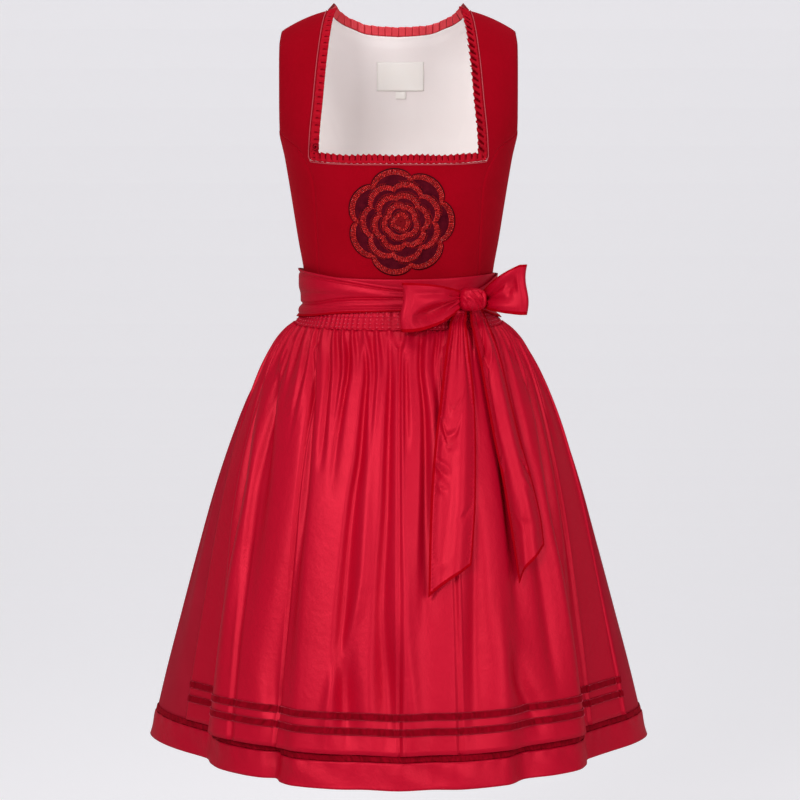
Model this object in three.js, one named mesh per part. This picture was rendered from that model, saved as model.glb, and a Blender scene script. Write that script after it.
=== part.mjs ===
// Dirndl with its apron: a worn, filled-out dress standing open at neck, armholes and hem.
// Millimetres, +Z up, the front faces -Y and +X is the right-hand side of a front view.
// The origin is midway between the tops of the two shoulder straps, where the dress is held.
import * as THREE from 'three';

// Cloth thicknesses and the spaces between pieces
const VELVET = 1.6;
const SATIN = 1.3;
const TRIM = 1.0;
const SEAM_GAP = 0.3;
const LAYER_GAP = 0.4;

// Heights below the shoulder line, as drops
const WAIST_SEAM = 380;
const HEM = 967.7;
const APRON_HEM = 926;
const NECK_FRONT = 196;
const NECK_CORNER_RISE = 5;
const UNDERARM = 175;
const FRONT_ARMHOLE = 150;
const BACK_ARMHOLE = 85;

// Half width of the shoulder seam at the neck and at the armhole, and the slope between them
const SHOULDER = { inner: 93, outer: 155, level: 122, slope: 0.42, bow: 0.0034, fade: 70 };
const NAPE = { half: 60, rise: 9, bow: 3.97 };

// The body in rings: drop, depth to the front, depth to the back, half width
const TORSO = [
  { drop: 0, front: 0, back: 0, half: 172 },
  { drop: 12, front: 46, back: 50, half: 172 },
  { drop: 30, front: 68, back: 76, half: 172 },
  { drop: 60, front: 87, back: 94, half: 171 },
  { drop: 113, front: 102, back: 104, half: 169 },
  { drop: 150, front: 110, back: 105, half: 163 },
  { drop: 175, front: 116, back: 103, half: 154 },
  { drop: 210, front: 119, back: 97, half: 147.5 },
  { drop: 241, front: 116, back: 91, half: 142.5 },
  { drop: 295, front: 105, back: 84, half: 134 },
  { drop: 335, front: 97, back: 81, half: 127 },
  { drop: 360, front: 95, back: 82, half: 124.5 },
  { drop: 380, front: 95, back: 84, half: 124.5 },
];
const ROUNDNESS = 2.3;

// Cut lines of the bodice: half width at each drop
const NECK_EDGE = [
  { drop: 0, half: 93 },
  { drop: 20, half: 98 },
  { drop: 60, half: 104 },
  { drop: 113, half: 109 },
  { drop: 165, half: 114 },
  { drop: 191, half: 115 },
  { drop: 240, half: 98 },
  { drop: 380, half: 91 },
];
const FRONT_SEAM = [
  { drop: 0, half: 155 },
  { drop: 25, half: 157 },
  { drop: 150, half: 157 },
  { drop: 177, half: 129 },
  { drop: 228, half: 109 },
  { drop: 335, half: 105 },
  { drop: 380, half: 104 },
];
const BACK_SEAM = [
  { drop: 0, half: 155 },
  { drop: 25, half: 157 },
  { drop: 85, half: 157 },
  { drop: 100, half: 125 },
  { drop: 122, half: 97 },
  { drop: 170, half: 81 },
  { drop: 230, half: 66 },
  { drop: 300, half: 57 },
  { drop: 380, half: 53 },
];
const BACK_NECK = [
  { half: 0, drop: 25 },
  { half: 40, drop: 24 },
  { half: 70, drop: 17 },
  { half: 86, drop: 8 },
  { half: 93, drop: 0 },
];

// The skirt: half width of its outline at each drop, its hem seen from above, and the shares
// of its spread where the folds start and where its lines have turned to run straight out
const SKIRT_SIDE = [
  { drop: 380, half: 124.5 },
  { drop: 392, half: 127 },
  { drop: 404, half: 135 },
  { drop: 415, half: 148 },
  { drop: 429, half: 159 },
  { drop: 449, half: 173 },
  { drop: 469, half: 185 },
  { drop: 510, half: 205 },
  { drop: 551, half: 222 },
  { drop: 632, half: 249.5 },
  { drop: 715, half: 273 },
  { drop: 797, half: 295 },
  { drop: 880, half: 317 },
  { drop: 967.7, half: 338 },
];
const HEM_FRONT = 290;
const HEM_SIDE = 338;
const HEM_SIDE_SHARPNESS = 16;
const FOLD_START = 0.12;
const EVEN_FROM = 0.3;

// Lines that run down the skirt: angle from centre front at the hem, half way and at the waist
const SKIRT_LINES = [
  { hem: -90, middle: -90, waist: -90 },
  { hem: -71, middle: -79, waist: -87 },
  { hem: -62, middle: -71, waist: -79 },
  { hem: -52, middle: -65, waist: -73 },
  { hem: -33, middle: -38, waist: -46 },
  { hem: -14, middle: -17.5, waist: -21 },
  { hem: 0, middle: 0, waist: 0 },
  { hem: 8.5, middle: 11, waist: 14 },
  { hem: 33, middle: 40, waist: 46 },
  { hem: 51, middle: 61, waist: 70 },
  { hem: 60, middle: 69, waist: 77 },
  { hem: 77, middle: 83, waist: 87 },
  { hem: 90, middle: 90, waist: 90 },
  { hem: 270, middle: 270, waist: 270 },
];

// Broad folds round the hem: how far the skirt and the apron over it stand out or in
const FOLDS = [
  { angle: -90, skirt: 0, apron: 0 },
  { angle: -82, skirt: -6, apron: -6 },
  { angle: -71, skirt: -10, apron: -10 },
  { angle: -62, skirt: -14, apron: -14 },
  { angle: -56, skirt: -3, apron: 5 },
  { angle: -50, skirt: 3, apron: 12 },
  { angle: -42, skirt: 0, apron: 7 },
  { angle: -37, skirt: -5, apron: 3 },
  { angle: -33.5, skirt: -13, apron: 0 },
  { angle: -30, skirt: 0, apron: 1 },
  { angle: -26, skirt: 6, apron: 6 },
  { angle: -15, skirt: 2, apron: 2 },
  { angle: -8, skirt: -3, apron: -1 },
  { angle: 0, skirt: 1, apron: 4 },
  { angle: 8, skirt: -3, apron: -1 },
  { angle: 16, skirt: 4, apron: 4 },
  { angle: 27, skirt: 5, apron: 5 },
  { angle: 34, skirt: -8, apron: -1 },
  { angle: 43, skirt: 3, apron: 6 },
  { angle: 50, skirt: 8, apron: 11 },
  { angle: 55, skirt: 1, apron: 4 },
  { angle: 61, skirt: -14, apron: -14 },
  { angle: 70, skirt: -13, apron: -13 },
  { angle: 80, skirt: -7, apron: -7 },
  { angle: 90, skirt: 0, apron: 0 },
  { angle: 104, skirt: -12, apron: -12 },
  { angle: 117, skirt: 7, apron: 7 },
  { angle: 131, skirt: -11, apron: -11 },
  { angle: 146, skirt: 9, apron: 9 },
  { angle: 160, skirt: -8, apron: -8 },
  { angle: 177, skirt: 10, apron: 10 },
  { angle: 193, skirt: -10, apron: -10 },
  { angle: 208, skirt: 8, apron: 8 },
  { angle: 224, skirt: -10, apron: -10 },
  { angle: 240, skirt: 7, apron: 7 },
  { angle: 255, skirt: -11, apron: -11 },
  { angle: 270, skirt: 0, apron: 0 },
];

// Gathers at the waist of the skirt back and of the apron
const BACK_GATHERS = { waves: 24, depth: 2.4, from: 384, full: 408, end: 500 };
const APRON_GATHERS = { waves: 32, depth: 2.3, from: 406, full: 432, end: 560 };

// The apron: angles of its side edges at the hem, and how far it stands off the skirt
const APRON_LEFT = -71;
const APRON_RIGHT = 77;
const APRON_LIFT = { top: 4, full: 5.2, end: 435 };
const SMOCKING = { top: 386.3, bottom: 412, sideRise: 7, ridge: 0.9, lift: 3.7 };

// Ribbons and bands: height above the lower edge, and width
const SKIRT_BAND = { up: 0, width: 33 };
const SKIRT_RIBBON = { up: 33.3, width: 8 };
const RIBBON_GAP = 0.8;
const APRON_RIBBONS = [
  { name: 'apron_ribbon_lower', up: 23, width: 9.5 },
  { name: 'apron_ribbon_upper', up: 41, width: 9.5 },
];

// Waistband and the two ties: angle round the waist, drops of the upper and lower edges
const WAISTBAND = { top: 341, dip: 7, bottom: 386, half: 86, lift: 3.2 };
const TIE_LIFT = 6.9;
const TIE_LEFT = [
  { angle: -180, top: 339, bottom: 398 },
  { angle: -135, top: 338, bottom: 400 },
  { angle: -90, top: 337, bottom: 404 },
  { angle: -60, top: 340, bottom: 400 },
  { angle: -30, top: 346, bottom: 391 },
  { angle: 0, top: 354, bottom: 387 },
  { angle: 22, top: 360, bottom: 384 },
  { angle: 43, top: 361, bottom: 382 },
];
const TIE_RIGHT = [
  { angle: 47, top: 361, bottom: 382 },
  { angle: 60, top: 352, bottom: 390 },
  { angle: 75, top: 342, bottom: 398 },
  { angle: 90, top: 338, bottom: 402 },
  { angle: 135, top: 338, bottom: 400 },
  { angle: 178, top: 339, bottom: 398 },
];
const TIE_LAP = { angle: 12, lift: 1.8, fadeFrom: 4, fadeTo: 30 };

// The bow: its knot, its two loops and its two hanging ends
const KNOT = { x: 86, drop: 371, width: 38, height: 30, depth: 27, heel: 0.25 };
const WRINKLES = { count: 5, slant: 0.35, relief: 0.9 };
const LOOP_LEFT = { side: -1, start: 0.3, farX: 10, farY: -134, farTop: 348, farBottom: 411, puff: 9 };
const LOOP_RIGHT = { side: 1, start: 2.2, farX: 160, farY: -112, farTop: 325, farBottom: 390, puff: 9 };
const LOOP = { nearTop: 359, nearBottom: 383, radius: 6, tuck: 2.4, forward: 0.33, edgeWave: 2.5 };
const LOOP_TURN = 0.08;
const LOOP_BACK_PUFF = 0.25;
const TAIL_LEFT = [
  { drop: 385, left: 70, right: 84, lift: 4.5 },
  { drop: 409, left: 64, right: 84.5, lift: 5.5 },
  { drop: 450, left: 57, right: 88, lift: 5.5 },
  { drop: 500, left: 51, right: 93, lift: 5 },
  { drop: 560, left: 44, right: 94.5, lift: 5 },
  { drop: 615, left: 39.5, right: 94, lift: 5 },
  { drop: 669, left: 37, right: 91, lift: 5 },
  { drop: 738, left: 35, right: 84, lift: 5 },
];
const TAIL_RIGHT = [
  { drop: 385, left: 87, right: 102, lift: 4.5 },
  { drop: 409, left: 90, right: 112, lift: 5.5 },
  { drop: 450, left: 98, right: 126, lift: 5.5 },
  { drop: 500, left: 106, right: 138, lift: 5 },
  { drop: 549, left: 114, right: 150, lift: 5 },
  { drop: 602, left: 124, right: 165, lift: 5 },
  { drop: 660, left: 133, right: 178, lift: 5 },
  { drop: 728, left: 144, right: 184, lift: 5 },
];
const TAILS = [
  { name: 'bow_tail_left', table: TAIL_LEFT, endLeft: 738, endRight: 700 },
  { name: 'bow_tail_right', table: TAIL_RIGHT, endLeft: 728, endRight: 685 },
];
const TAIL_RIPPLE = { waves: 1.5, depth: 2 };

// Neck trims: width beyond the cut edge, number of waves, depth of a wave
const STRAP_RUFFLE = { width: 11, waves: 26, depth: 1.2, from: 178.5 };
const FRONT_RUFFLE = { width: 11, waves: 30, depth: 1.2, half: 113.5 };
const RUFFLE_AT_SEAM = 0.15;
const BACK_PLEATS = { height: 12, pleats: 18, depth: 1.2, clear: 0.9, turnFrom: 0.55 };
const PLEAT_SHAPE = [1, 1, 0];
const PIPING = { radius: 1.1, sides: 5, inset: 1.4, highest: 2, lowest: 186 };

// Sewn-on flower: a rosette of three rings of petals round a coiled centre
const FLOWER = { x: 3, drop: 270, half: 66, petals: 7, lobe: 0.09, lift: 0.7, thickness: 1.2, relief: 1.3 };

// Woven label and the small tag below it, on the lining of the back
const LABEL = { x: 2.5, top: 52, width: 65, height: 38, ease: 0.9 };
const TAG = { x: 3, top: 91, width: 14, height: 10 };

const COLOURS = {
  velvet: { color: 0x9c0010, roughness: 0.95 },
  satin: { color: 0xc81832, roughness: 0.38 },
  skirtCloth: { color: 0xa50a22, roughness: 0.7 },
  ribbon: { color: 0x8c0008, roughness: 0.9 },
  piping: { color: 0xc84050, roughness: 0.6 },
  pleats: { color: 0xd24850, roughness: 0.4 },
  flower: { color: 0x9a1a1c, roughness: 0.45 },
  lining: { color: 0xe4dedd, roughness: 0.8 },
  label: { color: 0xe8e0d8, roughness: 0.6 },
};

const group = new THREE.Group();

function addPiece(name, geometry, finish) {
  const { color, roughness } = COLOURS[finish];
  const mesh = new THREE.Mesh(geometry, new THREE.MeshStandardMaterial({ color, roughness }));
  mesh.name = name;
  group.add(mesh);
}

// Smooth curve through the rows of a table that never overshoots a row
function column(table, from, to, scale = (value) => value) {
  const xs = table.map((row) => scale(row[from]));
  const ys = table.map((row) => row[to]);
  const slopes = xs.slice(1).map((x, i) => (ys[i + 1] - ys[i]) / (x - xs[i]));
  const tangents = xs.map((_, i) => {
    const before = slopes[Math.max(i - 1, 0)];
    const after = slopes[Math.min(i, slopes.length - 1)];
    return before * after <= 0 ? 0 : (2 * before * after) / (before + after);
  });
  return (value) => {
    const x = Math.min(Math.max(scale(value), xs[0]), xs[xs.length - 1]);
    let i = 0;
    while (i < slopes.length - 1 && x > xs[i + 1]) i += 1;
    const width = xs[i + 1] - xs[i];
    const t = (x - xs[i]) / width;
    const rise = t * t * (3 - 2 * t);
    const pull = (tangents[i] * (t ** 3 - 2 * t * t + t) + tangents[i + 1] * (t ** 3 - t * t)) * width;
    return ys[i] + (ys[i + 1] - ys[i]) * rise + pull;
  };
}

const mix = (a, b, t) => a + (b - a) * t;
const radians = THREE.MathUtils.degToRad;
const smoothstep = THREE.MathUtils.smoothstep;
const steps = (count, from = 0, to = 1) =>
  Array.from({ length: count + 1 }, (_, i) => mix(from, to, i / count));

// Unit vector out of a surface, from points close by on it
const NEARBY = 0.002;
function outward(form, u, v) {
  const alongU = form(u + NEARBY, v).sub(form(u - NEARBY, v));
  const alongV = form(u, v + NEARBY).sub(form(u, v - NEARBY));
  return alongU.cross(alongV).normalize();
}

// A point lifted off a surface
const lifted = (form, u, v, height) => form(u, v).addScaledVector(outward(form, u, v), height);

// A wall of cloth over a grid of stations on a surface, closed all round.
// The outer face is lifted by lift(u, v), the inner face by innerLift(u, v) or by a thickness less.
function clothWall({ us, vs, form, lift = () => 0, thickness, innerLift, closed = false, keep, seams = {} }) {
  const inside = innerLift ?? ((u, v) => lift(u, v) - thickness);
  const outer = vs.map((v) => us.map((u) => lifted(form, u, v, lift(u, v))));
  const inner = vs.map((v) => us.map((u) => lifted(form, u, v, inside(u, v))));
  const lastU = us.length - 1;
  const lastV = vs.length - 1;
  for (const face of [outer, inner]) {
    for (let j = 0; j <= lastV; j += 1) {
      if (seams.left) towards(face[j][0], face[j][1]);
      if (seams.right) towards(face[j][lastU], face[j][lastU - 1]);
    }
    for (let i = 0; i <= lastU; i += 1) {
      if (seams.bottom) towards(face[0][i], face[1][i]);
      if (seams.top) towards(face[lastV][i], face[lastV - 1][i]);
    }
  }
  const positions = [];
  const numbers = new Map();
  const vertex = (face, i, j) => {
    const key = `${face === outer ? 'o' : 'i'}${i},${j}`;
    if (!numbers.has(key)) {
      numbers.set(key, positions.length / 3);
      positions.push(...face[j][i].toArray());
    }
    return numbers.get(key);
  };
  const cellsU = closed ? us.length : lastU;
  const wrapU = (i) => (closed ? (i + cellsU) % cellsU : i);
  const kept = (i, j) => {
    if (!closed && (i < 0 || i >= cellsU)) return false;
    if (j < 0 || j >= lastV) return false;
    return keep ? keep(us[wrapU(i)], vs[j]) : true;
  };
  const index = [];
  const quad = (a, b, c, d) => index.push(a, b, c, a, c, d);
  for (let j = 0; j < lastV; j += 1) {
    for (let i = 0; i < cellsU; i += 1) {
      if (!kept(i, j)) continue;
      const corners = [[i, j], [wrapU(i + 1), j], [wrapU(i + 1), j + 1], [i, j + 1]];
      const [a, b, c, d] = corners.map(([x, y]) => vertex(outer, x, y));
      const [e, f, g, h] = corners.map(([x, y]) => vertex(inner, x, y));
      quad(a, b, c, d);
      index.push(e, g, f, e, h, g);
      if (!kept(i, j - 1)) quad(b, a, e, f);
      if (!kept(i + 1, j)) quad(c, b, f, g);
      if (!kept(i, j + 1)) quad(d, c, g, h);
      if (!kept(i - 1, j)) quad(a, d, h, e);
    }
  }
  return indexed(positions, index);
}

function towards(point, neighbour) {
  point.addScaledVector(neighbour.clone().sub(point).normalize(), SEAM_GAP / 2);
}

function indexed(positions, index) {
  const geometry = new THREE.BufferGeometry();
  geometry.setAttribute('position', new THREE.Float32BufferAttribute(positions, 3));
  geometry.setIndex(index);
  geometry.computeVertexNormals();
  return geometry;
}

// A round cord through a list of points, with flat ends
function cord(points, radius, sides) {
  const positions = [];
  const index = [];
  let side = new THREE.Vector3(0, 0, 1);
  points.forEach((point, i) => {
    const ahead = points[Math.min(i + 1, points.length - 1)];
    const behind = points[Math.max(i - 1, 0)];
    const direction = ahead.clone().sub(behind).normalize();
    side = side.clone().addScaledVector(direction, -side.dot(direction)).normalize();
    const across = direction.clone().cross(side);
    for (let k = 0; k < sides; k += 1) {
      const turn = (2 * Math.PI * k) / sides;
      const rim = point.clone().addScaledVector(side, radius * Math.cos(turn));
      positions.push(...rim.addScaledVector(across, radius * Math.sin(turn)).toArray());
    }
  });
  const last = (points.length - 1) * sides;
  for (let i = 0; i < points.length - 1; i += 1) {
    for (let k = 0; k < sides; k += 1) {
      const [a, b] = [i * sides + k, i * sides + ((k + 1) % sides)];
      index.push(a, b, b + sides, a, b + sides, a + sides);
    }
  }
  for (let k = 1; k < sides - 1; k += 1) {
    index.push(0, k + 1, k, last, last + k, last + k + 1);
  }
  return indexed(positions, index);
}

// Body surface: angle from centre front, and rise, which is minus the root of the drop.
// A rise above zero carries on over the shoulder to the other side.
const root = (drop) => Math.sqrt(drop);
const torsoFront = column(TORSO, 'drop', 'front', root);
const torsoBack = column(TORSO, 'drop', 'back', root);
const torsoHalf = column(TORSO, 'drop', 'half', root);

function torso(angle, rise) {
  const drop = rise * rise;
  const half = torsoHalf(drop);
  const sine = Math.sin(radians(angle));
  const cosine = Math.cos(radians(angle)) * (rise > 0 ? -1 : 1);
  const x = half * Math.sign(sine) * Math.abs(sine) ** (2 / ROUNDNESS);
  const depth = cosine > 0 ? torsoFront(drop) : torsoBack(drop);
  const y = -depth * Math.sign(cosine) * Math.abs(cosine) ** (2 / ROUNDNESS);
  const out = Math.abs(x) - SHOULDER.level;
  const slope = Math.abs(x) < NAPE.half
    ? NAPE.rise + NAPE.bow * (x / NAPE.half) ** 2
    : -SHOULDER.slope * out - SHOULDER.bow * out * out;
  const fade = 1 - smoothstep(drop, 0, SHOULDER.fade);
  return new THREE.Vector3(x, y, slope * fade - drop);
}

// The angle at which the body surface has a given x
const angleOf = (x, drop) => {
  const share = Math.min(Math.abs(x) / torsoHalf(drop), 1);
  return Math.sign(x) * THREE.MathUtils.radToDeg(Math.asin(share ** (ROUNDNESS / 2)));
};
const frontAt = (x, drop, rise = -root(drop)) => torso(angleOf(x, drop), rise);
const neckEdge = column(NECK_EDGE, 'drop', 'half');
const frontSeam = column(FRONT_SEAM, 'drop', 'half');
const backSeam = column(BACK_SEAM, 'drop', 'half');
const backNeck = column(BACK_NECK, 'half', 'drop');
const neckDrop = (share) => NECK_FRONT - NECK_CORNER_RISE * share ** 4;

// Skirt surface: angle at the hem of a line that runs down it, and minus the drop
const skirtSide = column(SKIRT_SIDE, 'drop', 'half');
const lineMiddle = column(SKIRT_LINES, 'hem', 'middle');
const lineWaist = column(SKIRT_LINES, 'hem', 'waist');
const skirtFold = column(FOLDS, 'angle', 'skirt');
const apronFold = column(FOLDS, 'angle', 'apron');
const spread = (drop) => (skirtSide(drop) - skirtSide(WAIST_SEAM)) / (HEM_SIDE - skirtSide(WAIST_SEAM));
const foldShare = (drop) => smoothstep(spread(drop), FOLD_START, 1) ** 0.8;

function lineAngle(hem, share) {
  const middle = lineMiddle(hem);
  const waist = lineWaist(hem);
  return waist + (4 * middle - 3 * waist - hem) * share + 2 * (waist + hem - 2 * middle) * share * share;
}

// The waist point a line of the skirt hangs from, and how far out the unfolded skirt is below it
function hangFrom(angle, share) {
  const waist = torso(angle, -root(WAIST_SEAM));
  const start = Math.hypot(waist.x, waist.y);
  const sideways = Math.abs(Math.sin(radians(angle)));
  const end = HEM_FRONT + (HEM_SIDE - HEM_FRONT) * sideways ** HEM_SIDE_SHARPNESS;
  return { waist, start, radius: mix(start, end, share) };
}

function skirt(hem, rise, fold = skirtFold) {
  const drop = Math.max(-rise, WAIST_SEAM);
  const share = spread(drop);
  const angle = lineAngle(hem, share);
  const { waist, radius: plain } = hangFrom(angle, share);
  const radius = plain + fold(hem) * foldShare(drop);
  const bearing = radians(angle);
  const heading = Math.atan2(waist.x, -waist.y);
  const turns = Math.round((bearing - heading) / (2 * Math.PI));
  const turn = mix(heading + 2 * Math.PI * turns, bearing, smoothstep(share, 0, EVEN_FROM));
  return new THREE.Vector3(radius * Math.sin(turn), -radius * Math.cos(turn), rise);
}

const apron = (hem, rise) => skirt(hem, rise, apronFold);

const gathered = ({ depth, from, full, end }, drop) =>
  depth * smoothstep(drop, from, full) * (1 - smoothstep(drop, full, end));

// Bodice front: one piece with both shoulder straps round the square neckline.
// u counts armhole, neck edge, neck edge, armhole; v counts waist, neckline, shoulder.
const BELOW_NECK = [380, 350, 320, 290, 260, 228, 205, 191];
const STRAP_ROWS = [191, 177, 165, 150, 113, 80, 50, 25, 9, 0];
const STRAP_CELLS = 4;
const CENTRE_CELLS = 14;

function rowValue(rows, v) {
  const place = v * (rows.length - 1);
  const i = Math.min(Math.max(Math.floor(place), 0), rows.length - 2);
  return mix(rows[i], rows[i + 1], place - i);
}

function bodiceFront(u, v) {
  const side = u < 1.5 ? -1 : 1;
  const share = Math.min(Math.abs(u - 1.5) / 0.5, 1);
  const row = v < 1 ? rowValue(BELOW_NECK, v) : Math.max(rowValue(STRAP_ROWS, v - 1), 0);
  const lowest = BELOW_NECK[BELOW_NECK.length - 1];
  const extra = (neckDrop(share) - lowest) * smoothstep(v, 0, 1) * (v > 1 ? 0 : 1);
  const over = v > 2 ? v - 2 : 0;
  const rise = over > 0 ? over * STRAP_ROWS.length : -root(row + extra);
  const inner = neckEdge(row);
  const outer = frontSeam(row);
  const x = share < 1 ? side * inner * share : side * mix(inner, outer, Math.abs(u - 1.5) - 0.5);
  return frontAt(x, row + extra, rise);
}

addPiece('bodice_front', clothWall({
  us: [...steps(STRAP_CELLS), ...steps(CENTRE_CELLS, 1, 2).slice(1), ...steps(STRAP_CELLS, 2, 3).slice(1)],
  vs: [...steps(BELOW_NECK.length - 1), ...steps(STRAP_ROWS.length - 1, 1, 2).slice(1)],
  form: bodiceFront,
  thickness: VELVET,
  keep: (u, v) => !(u > 0.999 && u < 1.999 && v > 0.999),
  seams: { left: true, right: true, bottom: true, top: true },
}), 'velvet');

// Bodice side fronts: from the shaped front seam to the side seam, scooped at the armhole
const SIDE_FRONT_ROWS = [380, 350, 320, 290, 260, 228, 205, 191, 177, 165, 150];
const SIDE_BACK_ROWS = [380, 345, 300, 260, 228, 200, 170, 145, 126, 112, 100, 92, 85];

function sidePanel(side, rows, top, seam, back) {
  return (u, v) => {
    const across = back ? 1 - u : u;
    const row = rowValue(rows, v);
    const scoop = mix(top, UNDERARM, Math.sin(radians(90 * Math.max(across, 0))));
    const drop = WAIST_SEAM - ((WAIST_SEAM - row) * (WAIST_SEAM - scoop)) / (WAIST_SEAM - top);
    const start = angleOf(seam(row), row);
    const angle = mix(start, 90, across);
    return torso(side * (back ? 180 - angle : angle), -root(drop));
  };
}

const SIDES = [{ name: 'left', side: -1 }, { name: 'right', side: 1 }];
const mirrored = (form, side) => (side > 0 ? form : (u, v) => form(1 - u, v));

for (const { name, side } of SIDES) {
  addPiece(`bodice_side_front_${name}`, clothWall({
    us: steps(5),
    vs: steps(SIDE_FRONT_ROWS.length - 1),
    form: mirrored(sidePanel(side, SIDE_FRONT_ROWS, FRONT_ARMHOLE, frontSeam, false), side),
    thickness: VELVET,
    seams: { left: true, right: true, bottom: true },
  }), 'velvet');
}

// Bodice side backs: from the side seam to the shaped back seam
for (const { name, side } of SIDES) {
  addPiece(`bodice_side_back_${name}`, clothWall({
    us: steps(5),
    vs: steps(SIDE_BACK_ROWS.length - 1),
    form: mirrored(sidePanel(side, SIDE_BACK_ROWS, BACK_ARMHOLE, backSeam, true), side),
    thickness: VELVET,
    seams: { left: true, right: true, bottom: true },
  }), 'velvet');
}

// Bodice backs: two halves that meet at the centre back seam, with the backs of the straps
const BACK_ROWS = [...SIDE_BACK_ROWS, 60, 38, 20, 8, 2, 0];
const BACK_COLUMNS = [0, 0.15, 0.3, 0.45, 0.6, 0.7, 0.8, 0.9, 1];

function bodiceBack(side) {
  return (u, v) => {
    const across = side > 0 ? 1 - u : u;
    const row = Math.max(rowValue(BACK_ROWS, v), 0);
    const top = backNeck(Math.abs(across) * SHOULDER.outer);
    const drop = WAIST_SEAM - ((WAIST_SEAM - row) * (WAIST_SEAM - top)) / WAIST_SEAM;
    const x = across * backSeam(row);
    const rise = v > 1 ? (v - 1) * BACK_ROWS.length - root(top) : -root(drop);
    return torso(side * (180 - angleOf(x, drop)), rise);
  };
}

for (const { name, side } of SIDES) {
  addPiece(`bodice_back_${name}`, clothWall({
    us: side > 0 ? BACK_COLUMNS.map((u) => 1 - u).reverse() : BACK_COLUMNS,
    vs: steps(BACK_ROWS.length - 1),
    form: bodiceBack(side),
    thickness: VELVET,
    seams: { left: true, right: true, bottom: true, top: true },
  }), 'velvet');
}

// Lining of the back, where it shows through the neckline
const LINING_ROWS = [376, 320, 260, 205, 160, 122, 85, 60, 38, 22, 12, 6];
const LINING_ANGLE = 60;
const LINING_NECK_MARGIN = 3;
const LINING_EASE = 2.8;
const LINING_LIFT = -(VELVET + LINING_EASE);

function lining(u, v) {
  const row = rowValue(LINING_ROWS, v);
  const angle = u * LINING_ANGLE;
  const x = Math.abs(torso(angle, -root(row)).x);
  const top = backNeck(Math.min(x, SHOULDER.inner)) + LINING_NECK_MARGIN;
  const drop = WAIST_SEAM - ((WAIST_SEAM - row) * (WAIST_SEAM - top)) / WAIST_SEAM;
  return torso(180 + angle, -root(drop));
}

addPiece('lining_back', clothWall({
  us: steps(12, -1, 1),
  vs: steps(LINING_ROWS.length - 1),
  form: lining,
  lift: () => LINING_LIFT,
  thickness: TRIM,
}), 'lining');

// Woven label and the small tag below it, both left plain
for (const [name, piece] of [['label', LABEL], ['size_tag', TAG]]) {
  addPiece(name, clothWall({
    us: steps(6, -piece.x - piece.width / 2, -piece.x + piece.width / 2),
    vs: steps(3, -piece.top - piece.height, -piece.top),
    form: (u, v) => torso(180 + angleOf(u, -v), -root(-v)),
    lift: () => LINING_LIFT - TRIM - LABEL.ease,
    thickness: TRIM,
  }), 'label');
}

// Velvet ruffles: set in along each strap and across the front of the neckline
function evenly(curve, count) {
  const fine = steps(200);
  const lengths = [0];
  for (let i = 1; i < fine.length; i += 1) {
    lengths.push(lengths[i - 1] + curve(fine[i]).distanceTo(curve(fine[i - 1])));
  }
  const total = lengths[lengths.length - 1];
  return steps(count).map((share) => {
    const i = Math.max(lengths.findIndex((length) => length >= share * total - 1e-9), 1);
    return mix(fine[i - 1], fine[i], (share * total - lengths[i - 1]) / (lengths[i] - lengths[i - 1]));
  });
}

const wave = (share, waves) => Math.cos(2 * Math.PI * waves * share);

for (const { name, side } of SIDES) {
  const edge = (across, t) => {
    const rise = mix(-root(STRAP_RUFFLE.from), 0, t);
    const drop = t > 1 ? 0 : rise * rise;
    const x = neckEdge(drop) - SEAM_GAP - STRAP_RUFFLE.width * across;
    return torso(side * angleOf(x, drop), rise);
  };
  const stations = evenly((t) => edge(0, t), STRAP_RUFFLE.waves * 2);
  const waveAt = new Map(stations.map((t, i) => [t, i % 2 ? -1 : 1]));
  addPiece(`neck_ruffle_${name}`, clothWall({
    us: [0, 1],
    vs: stations,
    form: (u, v) => edge(side > 0 ? 1 - u : u, v),
    lift: (u, v) => {
      const open = mix(RUFFLE_AT_SEAM, 1, side > 0 ? 1 - u : u);
      return STRAP_RUFFLE.depth * open * (waveAt.get(v) ?? 0);
    },
    thickness: TRIM,
    seams: { top: true },
  }), 'velvet');
}

addPiece('neck_ruffle_front', clothWall({
  us: steps(FRONT_RUFFLE.waves * 2),
  vs: [0, 1],
  form: (u, v) => {
    const share = mix(-1, 1, u) * (FRONT_RUFFLE.half / neckEdge(NECK_FRONT));
    return frontAt(mix(-1, 1, u) * FRONT_RUFFLE.half, neckDrop(share) - SEAM_GAP - FRONT_RUFFLE.width * v);
  },
  lift: (u, v) => FRONT_RUFFLE.depth * mix(RUFFLE_AT_SEAM, 1, v) * wave(u, FRONT_RUFFLE.waves),
  thickness: TRIM,
}), 'velvet');

// Satin box pleats that stand along the back of the neck
function backTrim(u, v) {
  const across = mix(1, -1, u);
  const half = Math.min(Math.abs(across), 1) * SHOULDER.inner;
  const drop = backNeck(half);
  const base = torso(180 - Math.sign(across) * angleOf(half, drop), -root(drop));
  const upright = 1 - smoothstep(Math.abs(across), BACK_PLEATS.turnFrom, 1);
  const lean = new THREE.Vector3(-Math.sign(across), 0, 0.1).lerp(new THREE.Vector3(0, -0.12, 1), upright);
  return base.addScaledVector(lean.normalize(), BACK_PLEATS.clear + BACK_PLEATS.height * v);
}

const pleatStations = evenly((t) => backTrim(t, 0), BACK_PLEATS.pleats * PLEAT_SHAPE.length);
const pleatDepth = new Map(pleatStations.map((t, i) => [t, PLEAT_SHAPE[i % PLEAT_SHAPE.length]]));
addPiece('neck_pleats_back', clothWall({
  us: pleatStations,
  vs: [0, 1],
  form: backTrim,
  lift: (u) => BACK_PLEATS.depth * (pleatDepth.get(u) ?? 0),
  thickness: TRIM,
  seams: { left: true, right: true },
}), 'pleats');

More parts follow.
